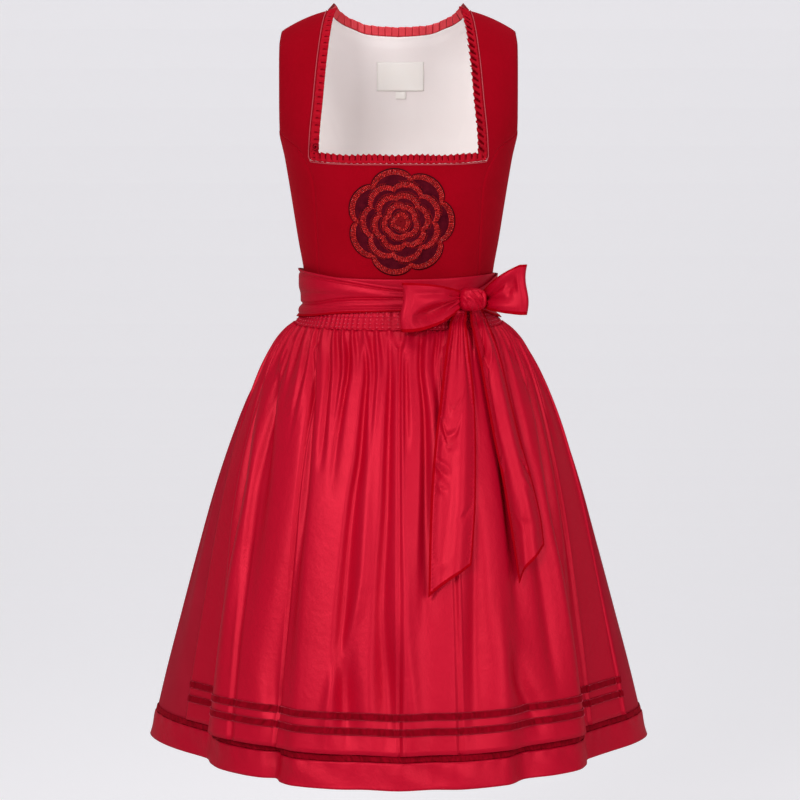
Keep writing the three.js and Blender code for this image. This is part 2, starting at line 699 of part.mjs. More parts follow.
// Thin piping on the neck edge: down one strap, across the front and up the other
const pipingLift = PIPING.radius + LAYER_GAP;
const pipingStrap = (side) => STRAP_ROWS.map((row) => {
  const drop = Math.min(Math.max(row, PIPING.highest), PIPING.lowest);
  return lifted(torso, side * angleOf(neckEdge(drop) + PIPING.inset, drop), -root(drop), pipingLift);
});
const pipingFront = steps(CENTRE_CELLS, -1, 1).map((share) => {
  const drop = neckDrop(share) + PIPING.inset;
  const x = share * (neckEdge(NECK_FRONT) + PIPING.inset);
  return lifted(torso, angleOf(x, drop), -root(drop), pipingLift);
});
addPiece('neck_piping', cord(
  [...pipingStrap(-1).reverse(), ...pipingFront, ...pipingStrap(1)],
  PIPING.radius,
  PIPING.sides,
), 'piping');

// Skirt: a front and a back, gathered into the waist and joined at the side seams
const SKIRT_ROWS = [967.7, 800, 640, 520, 455, 422, 404, 391, 380].map((drop) => -drop);
const UNDER_APRON = steps(APRON_GATHERS.waves, APRON_LEFT, APRON_RIGHT);
const FRONT_STATIONS = [-90, -81, ...UNDER_APRON, 83, 90];
const BACK_STATIONS = BACK_GATHERS.waves * 2;
const backWave = (angle) => Math.cos(radians((angle - 90) * BACK_GATHERS.waves * 2));

addPiece('skirt_front', clothWall({
  us: FRONT_STATIONS,
  vs: SKIRT_ROWS,
  form: skirt,
  thickness: SATIN,
  seams: { left: true, right: true, top: true },
}), 'skirtCloth');

addPiece('skirt_back', clothWall({
  us: steps(BACK_STATIONS, 90, 270),
  vs: SKIRT_ROWS,
  form: skirt,
  lift: (u, v) => gathered(BACK_GATHERS, -v) * backWave(u),
  thickness: SATIN,
  seams: { left: true, right: true, top: true },
}), 'skirtCloth');

// Satin hem band and the velvet ribbon above it, all round the skirt
const HEM_STATIONS = [...FRONT_STATIONS, ...steps(BACK_STATIONS, 90, 270).slice(1, -1)];
const skirtTrim = (name, { up, width }, finish) => addPiece(name, clothWall({
  us: HEM_STATIONS,
  vs: [-HEM + up, -HEM + up + width],
  form: skirt,
  lift: () => LAYER_GAP + TRIM,
  thickness: TRIM,
  closed: true,
}), finish);
skirtTrim('skirt_hem_band', SKIRT_BAND, 'satin');
skirtTrim('skirt_ribbon', SKIRT_RIBBON, 'ribbon');

// Apron: gathered under the smocking, falling over the front of the skirt
const APRON_STATIONS = steps(APRON_GATHERS.waves * 2, APRON_LEFT, APRON_RIGHT);
const APRON_DROPS = [926, 875, 755, 635, 535, 465, 430];
const smockBottom = (angle) => SMOCKING.bottom - SMOCKING.sideRise * (angle / 75) ** 2;
const apronShare = (angle) => (angle - APRON_LEFT) / (APRON_RIGHT - APRON_LEFT);

function apronLift(angle, drop) {
  const off = mix(APRON_LIFT.top, APRON_LIFT.full, smoothstep(drop, SMOCKING.bottom, APRON_LIFT.end));
  const ridge = SMOCKING.ridge * (1 - smoothstep(drop, SMOCKING.bottom, APRON_GATHERS.full));
  const waves = (ridge + gathered(APRON_GATHERS, drop)) * wave(apronShare(angle), APRON_GATHERS.waves);
  return off + waves;
}

const apronRow = (angle, v) => {
  const place = Math.min(v, APRON_DROPS.length - 1);
  const low = rowValue(APRON_DROPS, place / (APRON_DROPS.length - 1));
  return v > APRON_DROPS.length - 1
    ? mix(low, smockBottom(angle) + SEAM_GAP, v - APRON_DROPS.length + 1)
    : low;
};

addPiece('apron_panel', clothWall({
  us: APRON_STATIONS,
  vs: steps(APRON_DROPS.length, 0, APRON_DROPS.length),
  form: (u, v) => apron(u, -apronRow(u, v)),
  lift: (u, v) => apronLift(u, apronRow(u, v)),
  thickness: SATIN,
}), 'satin');

for (const { name, up, width } of APRON_RIBBONS) {
  addPiece(name, clothWall({
    us: APRON_STATIONS,
    vs: [-APRON_HEM + up, -APRON_HEM + up + width],
    form: apron,
    lift: (u, v) => apronLift(u, -v) + RIBBON_GAP + TRIM,
    thickness: TRIM,
  }), 'ribbon');
}

// Smocked band under the waistband: stitched ridges over a plain inside
addPiece('apron_smocking', clothWall({
  us: APRON_STATIONS,
  vs: steps(2),
  form: (u, v) => apron(u, -mix(smockBottom(u), SMOCKING.top, v)),
  lift: (u) => SMOCKING.lift + SMOCKING.ridge * wave(apronShare(u), APRON_GATHERS.waves),
  innerLift: () => SMOCKING.lift - SMOCKING.ridge - TRIM,
}), 'satin');

// Waist surface: the body above the waist seam and the skirt below it
function belt(angle, rise) {
  if (rise > -WAIST_SEAM) return torso(angle, -root(-rise));
  const { waist, start, radius } = hangFrom(angle, spread(-rise));
  return new THREE.Vector3((waist.x * radius) / start, (waist.y * radius) / start, rise);
}

addPiece('apron_waistband', clothWall({
  us: steps(20, -WAISTBAND.half, WAISTBAND.half),
  vs: [0, 0.5, 1],
  form: (u, v) => {
    const dip = WAISTBAND.dip * Math.cos(radians(u)) ** 2;
    return belt(u, -mix(WAISTBAND.bottom, WAISTBAND.top + dip - WAISTBAND.dip / 2, v));
  },
  lift: () => WAISTBAND.lift,
  thickness: SATIN,
}), 'satin');

// Ties: one from each side, round the waist and in towards the knot
function tie(name, table, stations, lapped) {
  const top = column(table, 'angle', 'top');
  const bottom = column(table, 'angle', 'bottom');
  const [first, last] = [table[0].angle, table[table.length - 1].angle];
  addPiece(name, clothWall({
    us: steps(stations, lapped ? first - TIE_LAP.angle : first, last),
    vs: [0, 0.5, 1],
    form: (u, v) => belt(u, -mix(bottom(u), top(u), v)),
    lift: (u) => {
      const over = 1 - smoothstep(u, first + TIE_LAP.fadeFrom, first + TIE_LAP.fadeTo);
      return TIE_LIFT + (lapped ? TIE_LAP.lift * over : 0);
    },
    thickness: SATIN,
  }), 'satin');
}
tie('tie_left', TIE_LEFT, 30, true);
tie('tie_right', TIE_RIGHT, 18, false);

// Bow knot: a wrapped lump with slanting wrinkles, flat where it sits on the ties
const knotBack = lifted(belt, angleOf(KNOT.x, KNOT.drop), -KNOT.drop, TIE_LIFT + LAYER_GAP);
const knotFace = outward(belt, angleOf(KNOT.x, KNOT.drop), -KNOT.drop);
const knotSide = new THREE.Vector3(0, 0, 1).cross(knotFace).normalize();
const knotUp = knotFace.clone().cross(knotSide);

function knot() {
  const ball = new THREE.SphereGeometry(1, 18, 10);
  const spots = ball.attributes.position;
  for (let i = 0; i < spots.count; i += 1) {
    const [x, y, z] = [spots.getX(i), spots.getY(i), spots.getZ(i)];
    const slanted = WRINKLES.count * Math.PI * (x + WRINKLES.slant * y);
    const wrinkle = WRINKLES.relief * Math.cos(slanted) * Math.max(z, 0);
    const height = z < 0 ? KNOT.heel * (1 + z) : mix(KNOT.heel, 1, z);
    const place = knotBack.clone()
      .addScaledVector(knotSide, (x * KNOT.width) / 2)
      .addScaledVector(knotUp, (y * KNOT.height) / 2)
      .addScaledVector(knotFace, KNOT.depth * height + wrinkle);
    spots.setXYZ(i, place.x, place.y, place.z);
  }
  return ball;
}
addPiece('bow_knot', knot(), 'satin');

// Bow loops: a strip that leaves the knot, turns back in a soft fold and returns to it
function bowLoop({ side, start, farX, farY, farTop, farBottom, puff }) {
  const near = knotBack.clone()
    .addScaledVector(knotSide, side * (KNOT.width / 2 + start))
    .addScaledVector(knotFace, KNOT.depth * LOOP.forward);
  const far = new THREE.Vector3(farX, farY, near.z);
  const reach = far.clone().sub(near).normalize();
  const face = new THREE.Vector3(0, 0, -side).cross(reach);
  return (u, v) => {
    const strip = side > 0 ? u : 1 - u;
    const layer = strip < 0.5 ? 1 : -1;
    const inTurn = Math.abs(strip - 0.5) < LOOP_TURN;
    const swing = ((strip - 0.5) / LOOP_TURN) * (Math.PI / 2);
    const t = inTurn ? 1 : 1 - (Math.abs(strip - 0.5) - LOOP_TURN) / (0.5 - LOOP_TURN);
    const bulge = puff * Math.sin(Math.PI * Math.max(t, 0)) * (layer > 0 ? 1 : LOOP_BACK_PUFF);
    const out = inTurn ? -LOOP.radius * Math.sin(swing) : layer * (mix(LOOP.tuck, LOOP.radius, t) + bulge);
    const beyond = inTurn ? LOOP.radius * Math.cos(swing) : 0;
    const wavy = LOOP.edgeWave * Math.sin(2 * Math.PI * v) * t * t;
    const open = smoothstep(t, -0.1, 1.1);
    const top = mix(LOOP.nearTop, farTop, open);
    const bottom = mix(LOOP.nearBottom, farBottom, open);
    const place = near.clone().lerp(far, t).addScaledVector(reach, beyond + wavy).addScaledVector(face, out);
    return place.setZ(-mix(bottom, top, v));
  };
}
const LOOP_STATIONS = [0, 0.12, 0.24, 0.34, 0.42, 0.46, 0.5, 0.54, 0.58, 0.66, 0.76, 0.88, 1];
for (const [name, loop] of [['bow_loop_left', LOOP_LEFT], ['bow_loop_right', LOOP_RIGHT]]) {
  addPiece(name, clothWall({
    us: LOOP_STATIONS,
    vs: steps(4),
    form: bowLoop(loop),
    thickness: SATIN,
  }), 'satin');
}

// Hanging ends of the bow, lying down the front of the apron with slanted ends
function hemAngleAt(x, drop) {
  let [low, high] = [APRON_LEFT, APRON_RIGHT];
  for (let step = 0; step < 30; step += 1) {
    const middle = (low + high) / 2;
    if (apron(middle, -drop).x < x) low = middle;
    else high = middle;
  }
  return (low + high) / 2;
}

for (const { name, table, endLeft, endRight } of TAILS) {
  const [left, right, rise] = ['left', 'right', 'lift'].map((key) => column(table, 'drop', key));
  const dropAt = (u, v) => mix(mix(endLeft, endRight, u), table[0].drop, v);
  addPiece(name, clothWall({
    us: steps(5),
    vs: steps(12),
    form: (u, v) => {
      const drop = dropAt(u, v);
      const angle = hemAngleAt(mix(left(drop), right(drop), u), drop);
      const ripple = TAIL_RIPPLE.depth * (1 + wave(u, TAIL_RIPPLE.waves)) * (1 - v * v);
      return lifted(apron, angle, -drop, APRON_LIFT.full + rise(drop) + ripple);
    },
    thickness: SATIN,
  }), 'satin');
}

// Flower on the front: a round patch with a petalled rim and raised rings of petals
function onDisc(u, v) {
  const wide = Math.abs(u) > Math.abs(v);
  const radius = Math.max(Math.abs(u), Math.abs(v));
  const lean = wide ? v / u : u / (v || 1);
  const quarter = (Math.PI / 4) * lean;
  const turn = wide ? quarter + (u > 0 ? 0 : Math.PI) : Math.PI / 2 - quarter + (v > 0 ? 0 : Math.PI);
  return { radius, turn };
}

function flower(u, v) {
  const { radius, turn } = onDisc(u, v);
  const reach = FLOWER.half * radius * (1 + FLOWER.lobe * Math.cos(FLOWER.petals * turn) * radius);
  const drop = FLOWER.drop - reach * Math.sin(turn);
  return frontAt(FLOWER.x + reach * Math.cos(turn), drop);
}

addPiece('flower_applique', clothWall({
  us: steps(12, -1, 1),
  vs: steps(12, -1, 1),
  form: flower,
  lift: (u, v) => {
    const { radius, turn } = onDisc(u, v);
    const petal = Math.cos(FLOWER.petals * turn + Math.PI * Math.round(radius * 3));
    return FLOWER.lift + FLOWER.thickness + (FLOWER.relief / 2) * (1 + petal * Math.sin(Math.PI * radius));
  },
  innerLift: () => FLOWER.lift,
}), 'flower');

export default group;
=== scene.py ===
# Dirndl with its apron, worn and filled out with nothing under it: velvet bodice with a ruffled
# square neck, gathered skirt, and a satin apron whose ties are knotted in a bow at the front.
# Sizes are in millimetres until a piece is sewn, then in metres. The front faces -Y.
import math

import bpy
import numpy as np
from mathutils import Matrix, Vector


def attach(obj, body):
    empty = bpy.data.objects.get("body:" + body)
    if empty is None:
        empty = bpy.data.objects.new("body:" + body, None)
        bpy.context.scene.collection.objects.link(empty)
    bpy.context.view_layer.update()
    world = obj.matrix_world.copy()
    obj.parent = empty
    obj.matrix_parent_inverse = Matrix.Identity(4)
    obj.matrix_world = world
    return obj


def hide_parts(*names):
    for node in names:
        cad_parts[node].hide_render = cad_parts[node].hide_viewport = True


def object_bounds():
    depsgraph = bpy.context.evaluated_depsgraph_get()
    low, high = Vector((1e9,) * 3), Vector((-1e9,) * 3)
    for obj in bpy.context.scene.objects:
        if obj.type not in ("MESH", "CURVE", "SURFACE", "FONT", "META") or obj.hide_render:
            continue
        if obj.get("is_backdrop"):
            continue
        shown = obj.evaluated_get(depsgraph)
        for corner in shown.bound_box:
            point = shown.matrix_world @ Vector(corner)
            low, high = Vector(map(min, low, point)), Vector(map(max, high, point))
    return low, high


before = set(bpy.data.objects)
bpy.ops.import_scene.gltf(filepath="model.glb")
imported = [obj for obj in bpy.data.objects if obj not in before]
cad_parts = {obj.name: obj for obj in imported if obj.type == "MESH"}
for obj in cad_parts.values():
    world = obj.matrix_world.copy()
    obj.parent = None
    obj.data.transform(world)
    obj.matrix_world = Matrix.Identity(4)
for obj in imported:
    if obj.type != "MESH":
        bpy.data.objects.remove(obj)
cad_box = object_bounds()


# Camera
# The photograph was taken from some way off with a long lens: here 2.8 m away, about level with
# the ribs and looking a little down.
def put(name, data):
    made = bpy.data.objects.new(name, data)
    bpy.context.collection.objects.link(made)
    return made


camera = put("camera", bpy.data.cameras.new("camera"))
camera.data.lens = 93.33
camera.data.sensor_width = 36
camera.data.clip_end = 60
camera.location = (0.002, -2.7893, -0.266)
camera.rotation_euler = (math.radians(85), 0, 0)
bpy.context.scene.camera = camera
bpy.context.scene.view_settings.view_transform = "Standard"


# Floor and light
# A pale studio sweep: the floor lies where the feet of a wearer would stand and curves up
# far behind the dress into a plain wall. Two large soft boxes light the dress from the front
# and one from above.
class Signal:
    """A number, colour or vector on its way through a material's nodes."""

    def __init__(self, tree, socket=None):
        self.tree, self.socket = tree, socket

    def node(self, kind, settings=None, inputs=None, output=0):
        made = self.tree.nodes.new("ShaderNode" + kind)
        for key, value in (settings or {}).items():
            setattr(made, key, value)
        for key, value in (inputs or {}).items():
            if isinstance(value, Signal):
                self.tree.links.new(value.socket, made.inputs[key])
            else:
                made.inputs[key].default_value = value
        return Signal(self.tree, made.outputs[output])

    def maths(self, operation, *values):
        return self.node("Math", {"operation": operation}, dict(enumerate(values)))

    def __add__(self, other):
        return self.maths("ADD", self, other)

    def __sub__(self, other):
        return self.maths("SUBTRACT", self, other)

    def __rsub__(self, other):
        return self.maths("SUBTRACT", other, self)

    def __mul__(self, other):
        return self.maths("MULTIPLY", self, other)

    __radd__, __rmul__ = __add__, __mul__

    def blend(self, low, high):
        """Colour between low and high by this number."""
        names = {0: self, 6: (*low, 1) if isinstance(low, tuple) else low,
                 7: (*high, 1) if isinstance(high, tuple) else high}
        return self.node("Mix", {"data_type": "RGBA"}, names, 2)

    def noise(self, place, scale, detail=2.0, distortion=0.0):
        sizes = {"Vector": place, "Scale": scale, "Detail": detail, "Distortion": distortion}
        return self.node("TexNoise", {}, sizes)

    def waves(self, place, direction, scale, distortion):
        sizes = {"Vector": place, "Scale": scale, "Distortion": distortion}
        return self.node("TexWave", {"bands_direction": direction}, sizes)

    def on_cloth(self):
        """Places on the cloth laid flat, in metres."""
        return self.node("UVMap", {"uv_map": "cloth"})

    def in_space(self):
        return self.node("TexCoord", {}, {}, 3)

    def bump(self, strength, distance, before=None):
        sizes = {"Height": self, "Strength": strength, "Distance": distance}
        if before is not None:
            sizes["Normal"] = before
        return self.node("Bump", {}, sizes)


def new_finish(name, **shader):
    """A material, and the start of its nodes; plain values go straight on the shader."""
    material = bpy.data.materials.new(name)
    material.use_nodes = True
    for key, value in shader.items():
        socket = material.node_tree.nodes["Principled BSDF"].inputs[key.replace("_", " ")]
        socket.default_value = value
    return material, Signal(material.node_tree)


def dye(material, **signals):
    """Links what changes over the surface to the shader."""
    shader = material.node_tree.nodes["Principled BSDF"]
    for key, value in signals.items():
        material.node_tree.links.new(value.socket, shader.inputs[key.replace("_", " ")])


sweep_finish, paper = new_finish("studio_paper", Roughness=1.0, Emission_Strength=0.60)
mottle = paper.noise(paper.in_space(), 0.6)
mottle = mottle.blend((0.700, 0.692, 0.715), (0.715, 0.707, 0.730))
dye(sweep_finish, Base_Color=mottle, Emission_Color=mottle)

FLOOR = {"height": -1.38, "near": -5.0, "far": 3.0, "half": 9.0, "curve": 2.5, "wall": 5.0}
turn = np.linspace(0, np.pi / 2, 25)
sweep_y = np.r_[FLOOR["near"], FLOOR["far"] + FLOOR["curve"] * np.sin(turn), FLOOR["far"] + FLOOR["curve"]]
sweep_z = np.r_[0, FLOOR["curve"] * (1 - np.cos(turn)), FLOOR["wall"]] + FLOOR["height"]
corners = [(side * FLOOR["half"], y, z) for y, z in zip(sweep_y, sweep_z) for side in (-1, 1)]
strips = [(2 * i, 2 * i + 1, 2 * i + 3, 2 * i + 2) for i in range(len(sweep_y) - 1)]
sweep_mesh = bpy.data.meshes.new("floor")
sweep_mesh.from_pydata(corners, [], strips)
sweep_mesh.materials.append(sweep_finish)
floor = put("floor", sweep_mesh)
floor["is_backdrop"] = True
# the satin in the photograph mirrors no pale floor, so the sweep is left out of reflections
floor.visible_glossy = False


def soft_box(name, place, aim, width, height, power):
    """A soft rectangular lamp at a place, turned to face the aim."""
    lamp = bpy.data.lights.new(name, "AREA")
    lamp.shape, lamp.size, lamp.size_y, lamp.energy = "RECTANGLE", width, height, power
    stand = put(name, lamp)
    stand.location = place
    direction = np.array(aim, float) - place
    across = math.hypot(direction[0], direction[1])
    stand.rotation_euler = (math.atan2(across, -direction[2]), 0, math.atan2(-direction[0], direction[1]))


soft_box("key_light", (-1.3, -2.9, 0.9), (0, 0, -0.45), 1.1, 1.5, 56)
soft_box("fill_light", (1.7, -2.6, 0.3), (0, 0, -0.45), 1.2, 1.6, 31)
soft_box("top_light", (0.0, -0.4, 2.2), (0, 0, -0.4), 1.8, 1.2, 26)
sky = bpy.data.worlds.new("sky")
sky.use_nodes = True
sky.node_tree.nodes["Background"].inputs["Color"].default_value = (0.95, 0.94, 0.955, 1)
sky.node_tree.nodes["Background"].inputs["Strength"].default_value = 0.24
bpy.context.scene.world = sky


# Velvet bodice
# Seven panels of deep red cotton velvet: a front cut with both shoulder straps, side fronts,
# side backs, and two backs that meet at the centre. Plain seams, turned and pressed open.
def curve(places, values, scale=lambda place: place):
    """A smooth line through sizes measured at some places, which never overshoots them."""
    xs, ys = scale(np.array(places, float)), np.array(values, float)
    slopes = np.diff(ys) / np.diff(xs)
    before, after = np.r_[slopes[0], slopes], np.r_[slopes, slopes[-1]]
    level = before * after <= 0
    tangents = np.where(level, 0, 2 * before * after / np.where(level, 1, before + after))

    def at(place):
        x = np.clip(scale(np.asarray(place, float)), xs[0], xs[-1])
        i = np.clip(np.searchsorted(xs, x) - 1, 0, len(slopes) - 1)
        width = xs[i + 1] - xs[i]
        t = (x - xs[i]) / width
        pull = (tangents[i] * (t ** 3 - 2 * t ** 2 + t) + tangents[i + 1] * (t ** 3 - t ** 2)) * width
        return ys[i] + (ys[i + 1] - ys[i]) * t * t * (3 - 2 * t) + pull

    return at


def table(rows, key, value, scale=lambda place: place):
    return curve([row[key] for row in rows], [row[value] for row in rows], scale)


def mix(a, b, t):
    return a + (b - a) * t


def smooth(x, low, high):
    t = np.clip((np.asarray(x, float) - low) / (high - low), 0, 1)
    return t * t * (3 - 2 * t)


def at_row(rows, v):
    """The size at a share v of the way through evenly numbered rows."""
    return np.interp(v, np.linspace(0, 1, len(rows)), rows)


def sine_of(degrees):
    return np.sin(np.radians(degrees))


# drop below the shoulder line, depth to the front and to the back, half width
TORSO = [
    (0, 0, 0, 172), (12, 46, 50, 172), (30, 68, 76, 172), (60, 87, 94, 171), (113, 102, 104, 169),
    (150, 110, 105, 163), (175, 116, 103, 154), (210, 119, 97, 147.5), (241, 116, 91, 142.5),
    (295, 105, 84, 134), (335, 97, 81, 127), (360, 95, 82, 124.5), (380, 95, 84, 124.5),
]
ROUNDNESS = 2.3
SHOULDER = {"outer": 155, "level": 122, "slope": 0.42, "bow": 0.0034, "fade": 70}
NAPE = {"half": 60, "rise": 9, "bow": 3.97}
NECK_EDGE = [(0, 93), (20, 98), (60, 104), (113, 109), (165, 114), (191, 115), (240, 98), (380, 91)]
FRONT_SEAM = [(0, 155), (25, 157), (150, 157), (177, 129), (228, 109), (335, 105), (380, 104)]
BACK_SEAM = [(0, 155), (25, 157), (85, 157), (100, 125), (122, 97), (170, 81), (230, 66), (300, 57),
             (380, 53)]
BACK_NECK = [(0, 25), (40, 24), (70, 17), (86, 8), (93, 0)]
WAIST, UNDERARM, FRONT_ARMHOLE, BACK_ARMHOLE = 380, 175, 150, 85
NECK_FRONT, NECK_CORNER_RISE, NECK_CORNER = 196, 5, 191

torso_front = table(TORSO, 0, 1, np.sqrt)
torso_back = table(TORSO, 0, 2, np.sqrt)
torso_half = table(TORSO, 0, 3, np.sqrt)
neck_edge = table(NECK_EDGE, 0, 1)
front_seam = table(FRONT_SEAM, 0, 1)
back_seam = table(BACK_SEAM, 0, 1)
back_neck = table(BACK_NECK, 0, 1)


def torso(angle, drop):
    """The body, by angle from centre front and drop below the shoulder."""
    sine, cosine = sine_of(angle), np.cos(np.radians(angle))
    x = torso_half(drop) * np.sign(sine) * np.abs(sine) ** (2 / ROUNDNESS)
    depth = np.where(cosine > 0, torso_front(drop), torso_back(drop))
    y = -depth * np.sign(cosine) * np.abs(cosine) ** (2 / ROUNDNESS)
    out = np.abs(x) - SHOULDER["level"]
    nape = NAPE["rise"] + NAPE["bow"] * (x / NAPE["half"]) ** 2
    slope = np.where(np.abs(x) < NAPE["half"], nape, -SHOULDER["slope"] * out - SHOULDER["bow"] * out ** 2)
    z = slope * (1 - smooth(drop, 0, SHOULDER["fade"])) - drop
    return np.stack(np.broadcast_arrays(x, y, z), -1)


def angle_of(x, drop):
    share = np.minimum(np.abs(x) / torso_half(drop), 1)
    return np.sign(x) * np.degrees(np.arcsin(share ** (ROUNDNESS / 2)))


def front_at(x, drop):
    return torso(angle_of(x, drop), drop)


def neck_drop(share):
    return NECK_FRONT - NECK_CORNER_RISE * share ** 4


BELOW_NECK = [380, 350, 320, 290, 260, 228, 205, 191]
STRAP_ROWS = [191, 177, 165, 150, 113, 80, 50, 25, 9, 0]
SIDE_FRONT_ROWS = [380, 350, 320, 290, 260, 228, 205, 191, 177, 165, 150]
SIDE_BACK_ROWS = [380, 345, 300, 260, 228, 200, 170, 145, 126, 112, 100, 92, 85]
BACK_ROWS = [*SIDE_BACK_ROWS, 60, 38, 20, 8, 2, 0]


def front_panel(u, v):
    """Armhole, neck edge, neck edge, armhole at u 0 to 3; waist, neckline, shoulder at v 0 to 2."""
    side, share = np.where(u < 1.5, -1, 1), np.minimum(np.abs(u - 1.5) / 0.5, 1)
    row = np.where(v < 1, at_row(BELOW_NECK, v), at_row(STRAP_ROWS, v - 1))
    drop = row + np.where(v > 1, 0, (neck_drop(share) - NECK_CORNER) * smooth(v, 0, 1))
    strap = mix(neck_edge(row), front_seam(row), np.abs(u - 1.5) - 0.5)
    return front_at(side * np.where(share < 1, neck_edge(row) * share, strap), drop)


def side_panel(side, rows, top, seam, back):
    def form(u, v):
        across = u if (side > 0) != back else 1 - u
        row = at_row(rows, v)
        scoop = mix(top, UNDERARM, sine_of(90 * across))
        drop = WAIST - (WAIST - row) * (WAIST - scoop) / (WAIST - top)
        angle = mix(angle_of(seam(row), row), 90, across)
        return torso(side * (180 - angle if back else angle), drop)
    return form


def back_panel(side):
    def form(u, v):
        across = 1 - u if side > 0 else u
        row = at_row(BACK_ROWS, v)
        top = back_neck(across * SHOULDER["outer"])
        drop = row + top * np.maximum(1 - row / BACK_ARMHOLE, 0) ** 2
        return torso(side * (180 - angle_of(across * back_seam(row), drop)), drop)
    return form


def outward(points, closed=False):
    """Unit vectors out of a grid of points, rows up and columns round."""
    if closed:
        across = np.roll(points, -1, 1) - np.roll(points, 1, 1)
    else:
        across = np.gradient(points, axis=1)
    out = np.cross(across, np.gradient(points, axis=0))
    return out / np.maximum(np.linalg.norm(out, axis=-1, keepdims=True), 1e-12)


def raised(points, lift, closed=False):
    return points + outward(points, closed) * lift[..., None]


def lengths(points, axis):
    """Length of cloth from the first point of each row or column."""
    step = np.linalg.norm(np.diff(points, axis=axis), axis=-1)
    return np.insert(np.cumsum(step, axis=axis), 0, 0, axis=axis)


def from_edges(points, edges):
    """How far each point is from the nearest of the named edges."""
    round_it, up = lengths(points, 1), lengths(points, 0)
    far = {"left": round_it, "right": round_it[:, -1:] - round_it, "bottom": up, "top": up[-1:] - up}
    return np.minimum.reduce([far[edge] for edge in edges])


def mould(name, points, faces, finishes):
    """A smooth mesh piece, from points in mm."""
    mesh = bpy.data.meshes.new(name)
    mesh.from_pydata((points / 1000).tolist(), [], faces)
    mesh.polygons.foreach_set("use_smooth", np.ones(len(faces), bool))
    for finish in finishes:
        mesh.materials.append(finish)
    return put(name, mesh)


LEAST_SIDE, LEAST_SHARE = 0.0105, 0.31


def sew(name, outer, thickness, finishes, body_node, closed=False, keep=None,
        patch=None, inside=None):
    """A piece of cloth as a thin closed wall, shown in place of the named CAD node, which is hidden.

    outer holds the points of its right side in mm, keep the cells that are left in, patch the
    finish number of each cell on the right side, inside the number on the wrong side.
    """
    rows, columns = outer.shape[:2]
    inner = outer - outward(outer, closed) * thickness
    cells = np.ones((rows - 1, columns if closed else columns - 1), bool) if keep is None else keep
    j, i = np.nonzero(cells)
    spot = lambda layer, row, column: layer * rows * columns + row * columns + column % columns
    square = [(j, i), (j, i + 1), (j + 1, i + 1), (j + 1, i)]
    right = np.stack([spot(0, *corner) for corner in square], 1)
    wrong = np.stack([spot(1, *corner) for corner in square[::-1]], 1)
    faces, places = [right, wrong], [(j, i)] * 2
    numbers = [np.zeros(len(j), int) if patch is None else patch[j, i]]
    numbers.append(np.full(len(j), inside) if inside is not None else numbers[0])
    around = np.pad(cells, 1)
    if closed:
        around[:, 0], around[:, -1] = around[:, -2], around[:, 1]
    for (down, along), (a, b) in zip([(-1, 0), (0, 1), (1, 0), (0, -1)], [(0, 1), (1, 2), (2, 3), (3, 0)]):
        rim = ~around[j + 1 + down, i + 1 + along]
        (aj, ai), (bj, bi) = square[a], square[b]
        strip = [spot(0, bj, bi), spot(0, aj, ai), spot(1, aj, ai), spot(1, bj, bi)]
        faces.append(np.stack(strip, 1)[rim])
        numbers.append(numbers[0][rim])
    faces, numbers = np.concatenate(faces), np.concatenate(numbers)
    used, renumbered = np.unique(faces, return_inverse=True)
    points = np.concatenate([outer.reshape(-1, 3), inner.reshape(-1, 3)])
    piece = mould(name, points[used], renumbered.reshape(faces.shape).tolist(), finishes)
    mesh = piece.data
    mesh.polygons.foreach_set("material_index", numbers.astype(np.int32))
    width, height = lengths(outer, 1) / 1000, lengths(outer, 0) / 1000
    cloth = np.tile(np.stack([width - width[:, -1:] / 2, height], -1).reshape(-1, 2), (2, 1))[used]
    loops = np.empty(len(mesh.loops), np.int32)
    mesh.loops.foreach_get("vertex_index", loops)
    mesh.uv_layers.new(name="cloth").data.foreach_set("uv", cloth[loops].ravel())
    mesh.validate()
    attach(piece, "root")
    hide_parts(body_node)
    a, b, c, d = [points[right[:, k]] for k in range(4)]
    halves = [np.linalg.norm(np.cross(p - a, q - a), axis=1) for p, q in ((b, c), (c, d))]
    area = (halves[0] + halves[1]).sum() / 2e6
    flat = (max(float(width[:, -1].max()), LEAST_SIDE), max(float(height[-1].max()), LEAST_SIDE))
    share = max(min(area / (flat[0] * flat[1]), 1.0), LEAST_SHARE)
    share * flat[0] * flat[1]


def grid(us, vs):
    return np.meshgrid(us, vs)


velvet, pile = new_finish("red_velvet", Roughness=0.92, Specular_IOR_Level=0.05, Sheen_Weight=0.2,
                          Sheen_Roughness=0.45, Sheen_Tint=(0.8, 0.03, 0.06, 1))
cloth_place = pile.on_cloth()
brushed = pile.noise(cloth_place, 14, 3) * 0.75 + pile.noise(cloth_place, 160, 2) * 0.25
dye(velvet,
    Base_Color=brushed.blend((0.245, 0.0, 0.004), (0.345, 0.0, 0.009)),
    Normal=pile.noise(cloth_place, 1500, 2).bump(0.35, 0.0006))

cotton, threads = new_finish("lining_cotton", Roughness=0.8, Specular_IOR_Level=0.2)
cloth_place = threads.on_cloth()
warp = threads.waves(cloth_place, "X", 420.0, 0.6)
weft = threads.waves(cloth_place, "Y", 420.0, 0.6)
dye(cotton,
    Base_Color=threads.noise(cloth_place, 18, 3).blend((0.93, 0.855, 0.84), (0.96, 0.90, 0.885)),
    Normal=(warp + weft).bump(0.25, 0.0003))

VELVET_WALL, SEAM_ROLL = 1.4, 0.35


def with_seams(form, us, vs, edges):
    """A velvet panel whose sewn edges roll in towards the seam."""
    flat = form(*grid(us, vs))
    roll = SEAM_ROLL * np.exp(-(from_edges(flat, edges) / 1.5) ** 2)
    return raised(flat, -roll)


